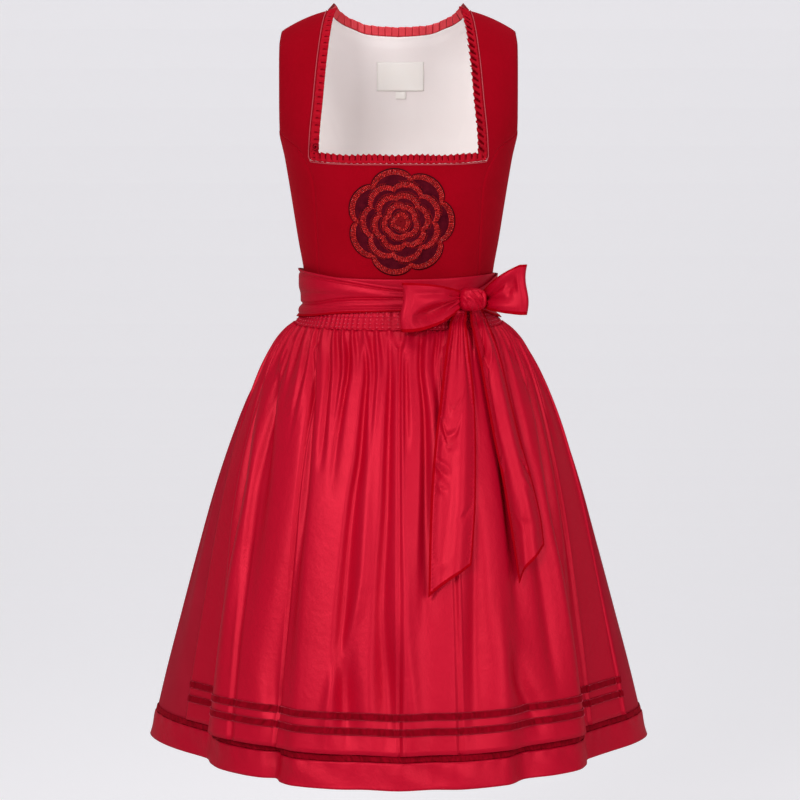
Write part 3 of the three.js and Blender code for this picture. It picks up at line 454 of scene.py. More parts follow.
strap, centre = np.linspace(0, 1, 17), np.linspace(1, 2, 41)
front_us = np.r_[strap, centre[1:], strap[1:] + 2]
front_vs = np.r_[np.linspace(0, 1, 43), np.linspace(1, 2, 58)[1:]]
middle_u, middle_v = (front_us[1:] + front_us[:-1]) / 2, (front_vs[1:] + front_vs[:-1]) / 2
below_neck = ~((middle_u > 1) & (middle_u < 2) & (middle_v[:, None] > 1))
sew("front_panel", with_seams(front_panel, front_us, front_vs, ["left", "right"]), VELVET_WALL,
    [velvet, cotton], "bodice_front",
    keep=below_neck, inside=1)
for name, side in (("left", -1), ("right", 1)):
    side_front = side_panel(side, SIDE_FRONT_ROWS, FRONT_ARMHOLE, front_seam, False)
    side_back = side_panel(side, SIDE_BACK_ROWS, BACK_ARMHOLE, back_seam, True)
    across = np.linspace(0, 1, 21)
    sew(f"side_front_{name}", with_seams(side_front, across, np.linspace(0, 1, 51), ["left", "right"]),
        VELVET_WALL, [velvet, cotton], f"bodice_side_front_{name}", inside=1)
    sew(f"side_back_{name}", with_seams(side_back, across, np.linspace(0, 1, 61), ["left", "right"]),
        VELVET_WALL, [velvet, cotton], f"bodice_side_back_{name}", inside=1)
    sew(f"back_{name}", with_seams(back_panel(side), np.linspace(0, 1, 41), np.linspace(0, 1, 91),
                                   ["left", "right"]),
        VELVET_WALL, [velvet, cotton], f"bodice_back_{name}", inside=1)


# Back lining, label and tag
# Off-white cotton lining of the back, seen through the neckline, with two shaped seams.
# A woven label and a small tag below it are sewn on by their edges; both are left plain.
LINING_ROWS = [376, 320, 260, 205, 160, 122, 85, 60, 38, 22, 12, 0]
LINING_ANGLE, LINING_EASE, NECK_MARGIN = 60, 2.8, -0.3


def lining(u, v):
    row, angle = at_row(LINING_ROWS, v), u * LINING_ANGLE
    top = np.maximum(back_neck(np.minimum(np.abs(torso(angle, row)[..., 0]), 93)) + NECK_MARGIN, 0)
    return torso(180 + angle, WAIST - (WAIST - row) * (WAIST - top) / WAIST)


across, up = grid(np.linspace(-1, 1, 91), np.linspace(0, 1, 67))
plain = lining(across, up)
seam_at = back_seam(-plain[..., 2])
beside = np.abs(plain[..., 0]) - seam_at
seams = np.exp(-(beside / 1.2) ** 2) - 0.6 * np.exp(-((beside - 5) / 3.5) ** 2)
softness = 0.5 * np.sin(plain[..., 0] / 23 + plain[..., 2] / 41) * np.cos(plain[..., 2] / 33)
lift = -1.6 - LINING_EASE * (1 - smooth(up, 0.9, 1)) - 0.5 * seams + softness - 0.5
sew("back_lining", raised(plain, lift), 0.7, [cotton], "lining_back")

tape, weave = new_finish("woven_tape", Roughness=0.7, Specular_IOR_Level=0.25)
cloth_place = weave.on_cloth()
ribs = weave.waves(cloth_place, "Y", 520.0, 0.3)
dye(tape,
    Base_Color=weave.noise(cloth_place, 60, 2).blend((0.99, 0.95, 0.90), (0.99, 0.97, 0.93)),
    Normal=ribs.bump(0.4, 0.0003))
for name, node, x, top, width, height in (
        ("neck_label", "label", 2.5, 52, 65, 38), ("small_tag", "size_tag", 3, 91, 14, 10)):
    across, down = grid(np.linspace(-x - width / 2, -x + width / 2, 33), np.linspace(-top - height, -top, 21))
    plain = torso(180 + angle_of(across, -down), -down)
    lift = -(1.6 + LINING_EASE) - 1.9 + 0.25 * np.sin(across / 7) * np.sin(down / 9)
    edge = from_edges(plain, ["left", "right", "bottom", "top"])
    lift = lift + 0.35 * np.exp(-(edge / 1.2) ** 2)
    sew(name, raised(plain, lift), 0.6, [tape], node)


# Neck trims
# A velvet ruffle in small pressed pleats down each strap and across the front, a thin piping
# cord on the neck seam, and coral satin box pleats that stand along the back of the neck.
RUFFLE_WIDTH, STRAP_WAVES, FRONT_WAVES, RUFFLE_AT_SEAM = 11, 26, 30, 0.15
RUFFLE_END, CELLS_A_PLEAT = 186.5, 12


def evenly(form, count):
    """Places along a line at equal lengths of cloth."""
    fine = np.linspace(0, 1, 801)
    length = np.r_[0, np.cumsum(np.linalg.norm(np.diff(form(fine), axis=0), axis=1))]
    return np.interp(np.linspace(0, length[-1], count + 1), length, fine)


def pleat(turns, lean):
    """Height of pressed pleats, from -1 to 1, that lean over to one side."""
    phase = 2 * np.pi * turns
    return np.cos(phase + lean * np.sin(phase))


# painted highlight: the ruffles' velvet is coloured lighter than the bodice velvet, standing in for the light
# caught by the pleat ridges
lit_ruffle_velvet, nap = new_finish("lit_ruffle_velvet", Roughness=0.85, Specular_IOR_Level=0.1, Sheen_Weight=0.3,
                                Sheen_Roughness=0.4, Sheen_Tint=(0.9, 0.1, 0.15, 1))
cloth_place = nap.on_cloth()
dye(lit_ruffle_velvet,
    Base_Color=nap.noise(cloth_place, 240, 3).blend((0.30, 0.0, 0.006), (0.50, 0.003, 0.018)),
    Normal=nap.noise(cloth_place, 1300, 2).bump(0.3, 0.0006))
# painted shade: a darker copy of the velvet, put in the pleat valleys of the ruffles and inside the corner
# curl
shaded_velvet, nap = new_finish("shaded_velvet", Roughness=0.95, Specular_IOR_Level=0.03)
cloth_place = nap.on_cloth()
dye(shaded_velvet, Base_Color=nap.noise(cloth_place, 200, 2).blend((0.09, 0.0, 0.002), (0.15, 0.0, 0.004)))
for name, side, lean, slant, relief, scallop, shade in (
        ("left", -1, 0.55, 0.1, 1.2, 0.05, -0.987), ("right", 1, 0.9, -0.85, 2.6, 0.16, -0.93)):
    def strap_edge(across, t):
        drop = (np.sqrt(RUFFLE_END) * (1 - t)) ** 2
        return torso(side * angle_of(neck_edge(drop) - 0.3 - RUFFLE_WIDTH * across, drop), drop)

    stations = evenly(lambda t: strap_edge(0, t), STRAP_WAVES * CELLS_A_PLEAT)
    across, t = grid(np.linspace(0, 1, 10), stations)
    across = 1 - across if side > 0 else across
    turns = np.repeat(np.linspace(0, STRAP_WAVES, len(stations))[:, None], 10, 1) + slant * across
    curl = 1 + 0.3 * np.sin(turns * 1.7 + side) + 0.2 * np.sin(turns * 0.61)
    plain = strap_edge(across * (1 + scallop * pleat(turns, 0.4) * across * curl), t)
    lift = relief * curl * mix(RUFFLE_AT_SEAM, 1.15, across ** 0.7) * pleat(turns, lean)
    # painted shade: cells in the pleat valleys get the darker shaded velvet
    dark = (pleat(turns, lean) < shade) & (np.abs(across - 0.6) < 0.36)
    sew(f"strap_ruffle_{name}", raised(plain, lift), 0.8, [lit_ruffle_velvet, shaded_velvet],
        f"neck_ruffle_{name}",
        patch=dark[:-1, :-1].astype(int))

# where the left strap's ruffle meets the front one its end is rolled into a small curl; all but its outer rim
# is the darker shaded velvet, painted shade inside the curl
turn, out = grid(np.linspace(0, 2.7 * np.pi, 61), np.linspace(0, 1, 7))
radius = 4.9 - 1.2 * turn / np.pi
plain = front_at(-107.5 + radius * np.cos(turn + 1.9), 175 - radius * np.sin(turn + 1.9))
plain = plain + np.array([0, -1, 0.15]) * (1.2 + 7 * out)[..., None]
sew("corner_curl", plain, 1.1, [shaded_velvet, lit_ruffle_velvet], "neck_ruffle_left",
    patch=(out[1:, 1:] > 0.9).astype(int))

u, v = grid(np.linspace(0, 1, FRONT_WAVES * CELLS_A_PLEAT + 1), np.linspace(0, 1, 10))
across = 2 * u - 1
turns = u * FRONT_WAVES + 0.12 * v * np.sin(u * 19)
rim = 1 + 0.07 * v * pleat(turns, 0) + 0.05 * np.sin(u * 23)
half = 113.5
seam = neck_drop(across * half / neck_edge(NECK_FRONT)) - 0.3
plain = front_at(across * half, seam - RUFFLE_WIDTH * v * rim)
lift = 1.7 * mix(RUFFLE_AT_SEAM, 1.1, v ** 0.7) * pleat(turns, 0.75) * (1 + 0.35 * np.sin(u * 31))
# painted shade: cells in the pleat valleys get the darker shaded velvet
dark = (pleat(turns, 0.75) < -0.975) & (v > 0.3)
sew("front_ruffle", raised(plain, lift), 0.8, [lit_ruffle_velvet, shaded_velvet], "neck_ruffle_front",
    patch=dark[:-1, :-1].astype(int))

coral, glaze = new_finish("coral_satin", Roughness=0.42, Metallic=0.15)
cloth_place = glaze.on_cloth()
dye(coral,
    Base_Color=glaze.noise(cloth_place, 90, 2).blend((0.62, 0.022, 0.038), (0.72, 0.04, 0.055)),
    Normal=glaze.noise(cloth_place, 700, 2).bump(0.2, 0.0004))
# painted shade: a darker copy of the coral satin, put on the deep folds between the box pleats
coral_fold_shade, glaze = new_finish("coral_fold_shade", Roughness=0.6)
cloth_place = glaze.on_cloth()
dye(coral_fold_shade, Base_Color=glaze.noise(cloth_place, 90, 2).blend((0.22, 0.0, 0.006), (0.30, 0.004, 0.012)))


def back_trim(t, up):
    across = 1 - 2 * t
    half = np.abs(across) * 93
    drop = back_neck(half)
    base = torso(180 - np.sign(across) * angle_of(half, drop), drop)
    upright = (1 - 0.5 * smooth(np.abs(across), 0.7, 1))[..., None]
    sides = np.stack([-np.sign(across), np.zeros_like(across), np.full_like(across, 0.1)], -1)
    lean = mix(sides, np.array([0, -0.12, 1.0]), upright)
    lean = lean / np.linalg.norm(lean, axis=-1, keepdims=True)
    return base + lean * (12.9 * up - 0.2)[..., None]


PLEATS = 20
t, up = grid(np.linspace(0, 1, PLEATS * 14 + 1), np.linspace(0, 1, 9))
turns = np.linspace(0, PLEATS, PLEATS * 14 + 1) % 1
plain = back_trim(t, up * (0.97 + 0.06 * (turns - 0.5) + 0.02 * np.sin(t * 57)))
face = smooth(turns, 0.0, 0.08) * (1 - smooth(turns, 0.88, 0.97))
lift = 1.3 - 2.3 * face * (0.8 + 0.2 * turns) * np.ones_like(up)
# the cells in the folds between the pleats get the darker coral, as painted shade
folds = np.tile((face[:-1] + face[1:]) / 2 < 0.6, (len(up) - 1, 1)).astype(int)
sew("back_pleats", raised(plain, lift), 0.7, [coral, coral_fold_shade], "neck_pleats_back",
    patch=folds)


def rings_of_faces(rings, sides):
    """Faces between rings of points, each joined to the next."""
    faces = []
    for low in range(0, (rings - 1) * sides, sides):
        for k in range(sides):
            after = (k + 1) % sides
            faces.append([low + k, low + after, low + sides + after, low + sides + k])
    return faces


def tube(name, path, radius, finish, sides=8):
    """A round cord along a path of points in mm."""
    ahead = np.gradient(path, axis=0)
    ahead /= np.linalg.norm(ahead, axis=1, keepdims=True)
    side = np.cross(ahead, [0.0, -1.0, 0.0])
    side = np.where(np.linalg.norm(side, axis=1, keepdims=True) < 0.2, np.cross(ahead, [1.0, 0, 0]), side)
    side /= np.linalg.norm(side, axis=1, keepdims=True)
    over = np.cross(ahead, side)
    turn = np.linspace(0, 2 * np.pi, sides, endpoint=False)[None, :, None]
    rings = path[:, None] + radius * (np.cos(turn) * side[:, None] + np.sin(turn) * over[:, None])
    faces = rings_of_faces(len(path), sides)
    faces += [list(range(sides))[::-1], list(range((len(path) - 1) * sides, len(path) * sides))]
    return mould(name, rings.reshape(-1, 3), faces, [finish])


rose, cord_start = new_finish("rose_piping", Roughness=0.55, Specular_IOR_Level=0.3)
object_place = cord_start.in_space()
dye(rose,
    Base_Color=cord_start.noise(object_place, 300, 2).blend((0.36, 0.035, 0.05), (0.48, 0.07, 0.085)),
    Normal=cord_start.noise(object_place, 900, 2).bump(0.3, 0.0005))


PIPING = {"radius": 0.62, "lift": 0.95, "inset": 1.4, "highest": 2, "lowest": 186}


def piping_run():
    drop = np.linspace(np.sqrt(PIPING["highest"]), np.sqrt(PIPING["lowest"]), 90)[::-1] ** 2
    straps = [torso(side * angle_of(neck_edge(drop) + PIPING["inset"], drop), drop) for side in (-1, 1)]
    share = np.linspace(-1, 1, 110)
    drop = neck_drop(share) + PIPING["inset"]
    across = front_at(share * (neck_edge(NECK_FRONT) + PIPING["inset"]), drop)
    return np.concatenate([straps[0][::-1], across[1:-1], straps[1]])


run = piping_run()
out = np.stack([0.25 * np.sign(run[:, 0]) * smooth(np.abs(run[:, 0]), 80, 110), -np.ones(len(run)),
                1.2 * (1 - smooth(-run[:, 2], 0, 40))], 1)
out /= np.linalg.norm(out, axis=1, keepdims=True)
piping = tube("neck_cord", run + out * PIPING["lift"], PIPING["radius"], rose)
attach(piping, "root")
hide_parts("neck_piping")


# Flower
# A round patch sewn on the front: a rosette of five rings of petals by formula. Each petal has
# a rim of small glass beads, a dark stitched inside and a thick dark outline.
FLOWER = {"x": 3, "drop": 270, "half": 66}
# reach as a share, number of petals, how far round they start, depth of the notches between them
RINGS = [(1.0, 7, 0.0, 0.10), (0.77, 7, 0.5, 0.10), (0.56, 6, 0.2, 0.10), (0.37, 5, 0.6, 0.09),
         (0.20, 4, 0.1, 0.07)]


def petal_edge(ring, turn):
    """How far a ring of petals reaches, as a share of the flower's half width."""
    reach, petals, offset, notch = RINGS[ring]
    lobe = np.abs(np.cos(petals * (turn / 2 - offset * np.pi / petals)))
    return reach * (1.06 - notch * 1.6 * (1 - lobe ** 0.55)) + 0.012 * np.sin(3 * turn + ring)


def on_front(x, drop, height):
    """Points that stand a height off the front of the bodice."""
    near = 0.5
    across = front_at(x + near, drop) - front_at(x - near, drop)
    up = front_at(x, drop - near) - front_at(x, drop + near)
    out = np.cross(across, up)
    out /= np.linalg.norm(out, axis=-1, keepdims=True)
    return front_at(x, drop) + out * np.asarray(height)[..., None]


def petals_at(radius, turn):
    """Ring number and distance in from its rim, in mm, of places on the flower."""
    edges = np.stack([petal_edge(ring, turn) for ring in range(len(RINGS))])
    ring = np.maximum((radius <= edges).sum(0) - 1, 0)
    rim = np.take_along_axis(edges, ring[None], 0)[0]
    return ring, (rim - radius) * FLOWER["half"]


def flower_place(reach, turn):
    size = reach * FLOWER["half"]
    return FLOWER["x"] + size * np.cos(turn), FLOWER["drop"] - size * np.sin(turn)


radius, turn = grid(np.linspace(0.012, 1, 49), np.linspace(0, 2 * np.pi, 253)[:-1])
radius, turn = radius.T[:, ::-1], turn.T[:, ::-1]
reach = radius * petal_edge(0, turn)
ring, inward = petals_at(reach * 0.999, turn)
depth = 1.3 + 0.45 * np.exp(-(inward / 3.0) ** 2) + 0.25 * (ring % 2) + 0.5 * smooth(inward, 12, 4)
depth = np.where(reach > 0.99 * petal_edge(0, turn), 1.1, depth)
x, drop = flower_place(reach, turn)
BEADED = 8.6
middle_ring, middle_in = ring[:-1], (inward[:-1] + inward[1:]) / 2
zones = np.where(middle_in < 1.5, 2, np.where((middle_in < BEADED) | (middle_ring > 3), 1, 0))

dark_thread, silk = new_finish("maroon_stitching", Roughness=0.75, Specular_IOR_Level=0.03)
object_place = silk.in_space()
stroke = silk.waves(object_place, "DIAGONAL", 330.0, 2.0)
dye(dark_thread,
    Base_Color=silk.noise(object_place, 120, 3).blend((0.030, 0.0, 0.004), (0.115, 0.004, 0.011)),
    Normal=stroke.bump(0.5, 0.0006))
bead_cloth, ground = new_finish("bead_ground", Roughness=0.8, Specular_IOR_Level=0.1)
object_place = ground.in_space()
dye(bead_cloth, Base_Color=ground.noise(object_place, 260, 2).blend((0.10, 0.0, 0.002), (0.22, 0.002, 0.006)))
outline, edge_start = new_finish("outline_cord", Roughness=0.85, Specular_IOR_Level=0.08)
object_place = edge_start.in_space()
dye(outline,
    Base_Color=edge_start.noise(object_place, 200, 2).blend((0.008, 0.0, 0.001), (0.03, 0.001, 0.004)))
sew("flower_patch", on_front(x, drop, depth), 0.9, [dark_thread, bead_cloth, outline],
    "flower_applique", closed=True, patch=zones)

glass, bead_start = new_finish("red_glass_beads", Roughness=0.18, Specular_IOR_Level=0.45)
object_place = bead_start.in_space()
# bead colour differs at random from bead to bead; the brightest beads are painted glints
bead_tone_and_glint = bead_start.noise(object_place, 420, 1) - 0.5
dye(glass, Base_Color=(bead_tone_and_glint * 3.2 + 0.45).blend((0.20, 0.0, 0.003), (0.80, 0.03, 0.025)))

places = []
for number, (reach, petals, offset, notch) in enumerate(RINGS):
    count = int(2 * np.pi * (reach * FLOWER["half"] - 4.5) / 2.1)
    around = np.arange(count) * 2 * np.pi / count
    for row in range(4 if number < 4 else 3):
        gap = 2.5 + row * 1.72
        size = petal_edge(number, around) - gap / FLOWER["half"]
        if number + 1 < len(RINGS):
            size = np.where(size > petal_edge(number + 1, around) + 0.018, size, np.nan)
        places.append(np.stack([size, around], 1))
places = np.concatenate(places)
places = places[~np.isnan(places[:, 0])]
x, drop = flower_place(places[:, 0], places[:, 1])
spots = on_front(x, drop, np.full(len(x), 2.0))


def scatter(name, spots, sizes, finish, along=None, small=False):
    """Small round pieces at many spots, as one piece; along stretches each one that way."""
    points = [(0, 0, 1), (1, 0, 0), (0, 1, 0), (-1, 0, 0), (0, -1, 0), (0, 0, -1)]
    faces = [(0, 1, 2), (0, 2, 3), (0, 3, 4), (0, 4, 1), (5, 2, 1), (5, 3, 2), (5, 4, 3), (5, 1, 4)]
    if not small:
        between, quarters = {}, []
        for a, b, c in faces:
            halves = []
            for p, q in ((a, b), (b, c), (c, a)):
                pair = (min(p, q), max(p, q))
                if pair not in between:
                    half = np.add(points[p], points[q]) / 2
                    points.append(tuple(half / np.linalg.norm(half)))
                    between[pair] = len(points) - 1
                halves.append(between[pair])
            ab, bc, ca = halves
            quarters += [(a, ab, ca), (b, bc, ab), (c, ca, bc), (ab, bc, ca)]
        faces = quarters
    shape = np.array(points, float)
    stretch = shape[None] * np.asarray(sizes)[:, None, None]
    if along is not None:
        direction, ratio = along
        stretch = stretch + direction[:, None] * (stretch @ direction[:, :, None]) * (ratio - 1)
    corners = (spots[:, None] + stretch).reshape(-1, 3)
    faces = (np.array(faces)[None] + np.arange(len(spots))[:, None, None] * len(shape)).reshape(-1, 3)
    piece = mould(name, corners, faces.tolist(), [finish])
    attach(piece, "root")
    return piece


size = 0.86 + 0.10 * np.sin(np.arange(len(spots)) * 2.4)
beads = scatter("flower_beads", spots, size, glass)


# Gathered skirt
# Two widths of crimson twill, gathered into the waist seam and joined at the sides. A satin
# band faces the hem, with a narrow velvet ribbon stitched on above it.
SKIRT_SIDE = [
    (380, 124.5), (392, 127), (404, 135), (415, 148), (429, 159), (449, 173), (469, 185), (510, 205),
    (551, 222), (632, 249.5), (715, 273), (797, 295), (880, 317), (967.7, 338),
]
HEM, HEM_FRONT, HEM_SIDE, HEM_SIDE_SHARPNESS, FOLD_START, EVEN_FROM = 967.7, 290, 338, 16, 0.12, 0.3
# angle of lines down the skirt: at the hem, half way, at the waist
SKIRT_LINES = [
    (-90, -90, -90), (-71, -79, -87), (-62, -71, -79), (-52, -65, -73), (-33, -38, -46), (-14, -17.5, -21),
    (0, 0, 0), (8.5, 11, 14), (33, 40, 46), (51, 61, 70), (60, 69, 77), (77, 83, 87), (90, 90, 90),
    (270, 270, 270),
]
# folds round the hem: angle, how far the skirt and the apron over it stand out or in
FOLDS = [
    (-90, 0, 0), (-82, -6, -6), (-71, -10, -10), (-62, -14, -14), (-56, -3, 5), (-50, 3, 12), (-42, 0, 7),
    (-37, -5, 3), (-33.5, -13, 0), (-30, 0, 1), (-26, 6, 6), (-15, 2, 2), (-8, -3, -1), (0, 1, 4),
    (8, -3, -1), (16, 4, 4), (27, 5, 5), (34, -8, -1), (43, 3, 6), (50, 8, 11), (55, 1, 4), (61, -14, -14),
    (70, -13, -13), (80, -7, -7), (90, 0, 0), (104, -12, -12), (117, 7, 7), (131, -11, -11), (146, 9, 9),
    (160, -8, -8), (177, 10, 10), (193, -10, -10), (208, 8, 8), (224, -10, -10), (240, 7, 7),
    (255, -11, -11), (270, 0, 0),
]
APRON_GATHERS = {"waves": 32, "depth": 2.3, "from": 406, "full": 432, "end": 560}
BACK_GATHERS = {"waves": 24, "depth": 2.4, "from": 384, "full": 408, "end": 500}

skirt_side = table(SKIRT_SIDE, 0, 1)
line_middle = table(SKIRT_LINES, 0, 1)
line_waist = table(SKIRT_LINES, 0, 2)
skirt_fold = table(FOLDS, 0, 1)
apron_fold = table(FOLDS, 0, 2)


def spread(drop):
    return (skirt_side(drop) - 124.5) / (HEM_SIDE - 124.5)


def hang_from(angle, share):
    """The waist point a line of the skirt hangs from, and how far out the skirt is below it."""
    waist = torso(angle, WAIST)
    start = np.hypot(waist[..., 0], waist[..., 1])
    sideways = np.abs(sine_of(angle))
    end = HEM_FRONT + (HEM_SIDE - HEM_FRONT) * sideways ** HEM_SIDE_SHARPNESS
    return waist, start, mix(start, end, share)


def skirt(hem, drop, fold=skirt_fold):
    """The skirt, by the angle at the hem of a line that runs down it, and drop."""
    share = spread(drop)
    middle, at_waist = line_middle(hem), line_waist(hem)
    bend = 2 * (at_waist + hem - 2 * middle)
    angle = at_waist + (4 * middle - 3 * at_waist - hem) * share + bend * share ** 2
    waist, start, radius = hang_from(angle, share)
    radius = radius + fold(hem) * smooth(share, FOLD_START, 1) ** 0.8
    bearing, heading = np.radians(angle), np.arctan2(waist[..., 0], -waist[..., 1])
    turns = np.round((bearing - heading) / (2 * np.pi))
    turn = mix(heading + 2 * np.pi * turns, bearing, smooth(share, 0, EVEN_FROM))
    return np.stack([radius * np.sin(turn), -radius * np.cos(turn), -drop * np.ones_like(radius)], -1)


def gathered(sizes, drop):
    rise = smooth(drop, sizes["from"], sizes["full"])
    return sizes["depth"] * rise * (1 - smooth(drop, sizes["full"], sizes["end"]))


def soft_fold(along, across, rows, skew=0.0):
    """A fold that follows rows of (place along, place across, width, height), soft at its ends."""
    places = [row[0] for row in rows]
    centre, width, height = (curve(places, [row[k] for row in rows]) for k in (1, 2, 3))
    off = (across - centre(along)) / width(along)
    inside = (along >= places[0]) & (along <= places[-1])
    return np.where(inside, height(along) * np.exp(-(off / (1 + skew * np.tanh(off))) ** 2), 0)


twill, yarn = new_finish("crimson_twill", Roughness=0.7, Specular_IOR_Level=0.12,
                         Specular_Tint=(1.0, 0.25, 0.35, 1))
cloth_place = yarn.on_cloth()
twill_lines = yarn.waves(cloth_place, "DIAGONAL", 260.0, 0.4)
dye(twill,
    Base_Color=yarn.noise(cloth_place, 22, 3).blend((0.315, 0.004, 0.016), (0.375, 0.008, 0.024)),
    Normal=twill_lines.bump(0.22, 0.0004))

SATIN_RED = ((0.47, 0.0, 0.016), (0.53, 0.0, 0.022))


def satin_finish(name, low, high, roughness):
    finish, weft = new_finish(name, Metallic=0.28, Specular_IOR_Level=0.42,
                              Specular_Tint=(1.0, 0.42, 0.48, 1))
    place = weft.on_cloth()
    fine = weft.waves(place, "X", 900.0, 1.0)
    gloss = weft.noise(place, 26, 2)
    pucker = weft.noise(place, 42, 3, 0.4) * 0.7 + weft.noise(place, 170, 2) * 0.3
    dye(finish,
        Base_Color=weft.noise(place, 9, 3).blend(low, high),
        Roughness=gloss * 0.10 + (roughness - 0.05),
        Normal=pucker.bump(0.22, 0.004, before=fine.bump(0.10, 0.0002)))
    return finish


satin = satin_finish("crimson_satin", *SATIN_RED, 0.46)
nap_ribbon, nap = new_finish("dark_velvet_ribbon", Roughness=0.9, Specular_IOR_Level=0.05, Sheen_Weight=0.2,
                             Sheen_Roughness=0.4, Sheen_Tint=(0.8, 0.02, 0.05, 1))
cloth_place = nap.on_cloth()
stretched = nap.node("Mapping", {}, {"Vector": cloth_place, "Scale": (1, 0.35, 1)})
crush = nap.noise(stretched, 300, 3, 0.6)
dye(nap_ribbon,
    Base_Color=(crush * 2.2 - 0.6).blend((0.13, 0.0, 0.003), (0.28, 0.0, 0.009)),
    Normal=crush.bump(0.5, 0.0012))

edging, weft = new_finish("pressed_edge", Roughness=0.8, Specular_IOR_Level=0.02)
cloth_place = weft.on_cloth()
dye(edging,
    Base_Color=weft.noise(cloth_place, 120, 3).blend((0.29, 0.0, 0.003), (0.38, 0.0, 0.006)),
    Normal=weft.noise(cloth_place, 500, 2).bump(0.4, 0.0006))
thread, strand = new_finish("light_red_thread", Roughness=0.6, Specular_IOR_Level=0.2)
object_place = strand.in_space()
dye(thread, Base_Color=strand.noise(object_place, 300, 2).blend((0.75, 0.07, 0.13), (0.90, 0.16, 0.24)))


def front_folds(hem, drop):
    """Folds down the front of apron and skirt: rows of (drop, hem angle, width in degrees, height)."""
    height = np.zeros(np.broadcast(hem, drop).shape)
    for skew, rows in (
            # from the gathers down the middle, and the broad shadow it opens into
            (0.3, [(416, -2.4, 0.9, 0), (440, -2.6, 1.0, -4.5), (526, -3, 1.2, -6.5),
                   (617, -3.2, 1.5, -6.5), (749, -4.2, 2.0, -6.5), (841, -3.2, 3.2, -12),
                   (926, -2.0, 4.2, -9)]),
            (0.0, [(640, 1.5, 1.5, 0), (760, 1.2, 2.2, 3.5), (850, 2.6, 2.2, 4), (926, 4, 3, 2.5)]),
            # next fold to the left
            (0.3, [(424, -10.6, 0.9, 0), (450, -10.9, 1.0, -4.5), (562, -11.5, 1.3, -7),
                   (618, -12.8, 1.6, -6.5), (712, -14, 2.0, -6.5), (800, -14.5, 2.4, -8),
                   (866, -13.5, 2.7, -10), (926, -12.5, 3.2, -7)]),
            (0.0, [(560, -8.5, 1.4, 0), (700, -9.5, 1.8, 2.5), (880, -17.5, 1.8, 3.5),
                   (926, -18, 2.2, 2)]),
            (0.2, [(426, -17.5, 0.8, 0), (450, -18, 0.9, -4), (500, -19, 1.1, -5), (545, -19.5, 1.3, -3),
                   (620, -20, 1.6, 0)]),
            (-0.3, [(436, -34.5, 1.0, 0), (468, -33.2, 1.3, -5), (518, -31.2, 1.6, -7),
                    (617, -29.8, 1.9, -7), (716, -30.8, 2.4, -5), (800, -31.4, 3.0, -3),
                    (850, -31.5, 3.2, 0)]),
            (0.0, [(700, -33, 2.4, 0), (800, -35, 3.0, -2.5), (868, -34, 2.6, -5.5), (905, -33, 2.4, -2),
                   (926, -33, 2.4, 0)]),
            (0.0, [(440, -26.5, 0.9, 0), (470, -26, 1.0, -3.5), (530, -25, 1.2, -3.5),
                   (590, -24.5, 1.3, 0)]),
            # down the left side, and the edge of the panel that hangs forward there
            (-0.3, [(450, -48.5, 1.2, 0), (486, -46.3, 1.6, -5), (562, -43.6, 2.0, -7),
                    (622, -43, 2.4, -5.5), (720, -43.5, 3.0, -2.5), (800, -44, 3, 0)]),
            (0.0, [(470, -57, 1.5, 0), (524, -54.5, 2.0, -5), (612, -52, 2.4, -8), (727, -54.5, 3.0, -9),
                   (881, -57.5, 3.2, -8), (926, -58, 3.2, -7)]),
            (0.0, [(520, -49, 1.6, 0), (612, -46.5, 2.0, 3.5), (727, -48.5, 2.4, 3.5),
                   (881, -49.5, 2.6, 1.5), (926, -49.5, 3, 0)]),
            (0.0, [(430, -64, 1.3, 0), (480, -62, 1.6, -4.5), (560, -61, 2.0, -3.5), (660, -62, 2.6, 0)]),
            # right of the middle, where the bow ends hang over it
            (0.3, [(410, 6.2, 0.7, 0), (430, 6.6, 0.9, -5), (516, 8, 1.1, -7), (617, 7.4, 1.4, -6.5),
                   (700, 7, 2.0, -4), (800, 6.8, 2.5, 0)]),
            (0.0, [(424, 2.6, 0.7, 0), (450, 2.6, 0.8, -3.5), (520, 2.4, 0.9, -3), (570, 2.3, 1, 0)]),
            (0.2, [(408, 12.5, 0.8, 0), (430, 12.5, 1.0, -5), (480, 12.8, 1.2, -5), (560, 13, 1.6, 0)]),
            (0.0, [(600, 22, 1.6, 0), (700, 21, 2.2, -5), (800, 20, 2.8, -7), (870, 19.5, 3.2, -6),
                   (926, 19, 3.6, -3)]),
            (0.0, [(740, 27, 2.4, 0), (830, 27, 3.0, 3.5), (926, 27, 3.6, 2)]),
            (0.0, [(800, 31, 2.4, 0), (850, 33, 2.6, -6), (880, 36, 2.6, -6), (926, 39, 3.0, 0)]),
            (0.3, [(500, 33, 1.4, 0), (600, 33, 1.8, -4), (720, 33.5, 2.4, -3), (800, 34, 3, 0)]),
            # the edge of the forward panel on the right
            (0.0, [(430, 58, 1.5, 0), (500, 54, 1.8, -5.5), (627, 51.5, 2.3, -8), (725, 53.8, 2.8, -9),
                   (799, 55.5, 3, -9), (863, 56.5, 3, -8), (926, 57.5, 3, -6)]),
            (0.0, [(560, 47, 1.6, 0), (627, 46.5, 2.0, 3), (725, 48.6, 2.2, 3.5), (863, 50.4, 2.4, 1.5),
                   (926, 51, 3, 0)]),
            (0.0, [(600, 40, 1.4, 0), (700, 42, 1.8, -4), (800, 43, 2.2, -3.5), (880, 44, 2.2, 0)]),
            (0.0, [(425, 44, 1.1, 0), (460, 43.5, 1.3, -4.5), (540, 43, 1.6, -4), (620, 43, 2, 0)]),
            (0.0, [(430, 68, 1.4, 0), (490, 66, 1.7, -4), (580, 66, 2.2, 0)])):
        height = height + soft_fold(drop, hem, rows, skew)
    return 1.35 * height * (1 - 0.6 * smooth(drop, 880, 926))


def pressed_in(hem, drop, gathers=0):
    """How far the apron's folds and gathers press in the skirt under them; none at the hem."""
    return np.minimum(front_folds(hem, drop) + 1.4 - gathers, 0) * (1 - smooth(drop, 905, 945))


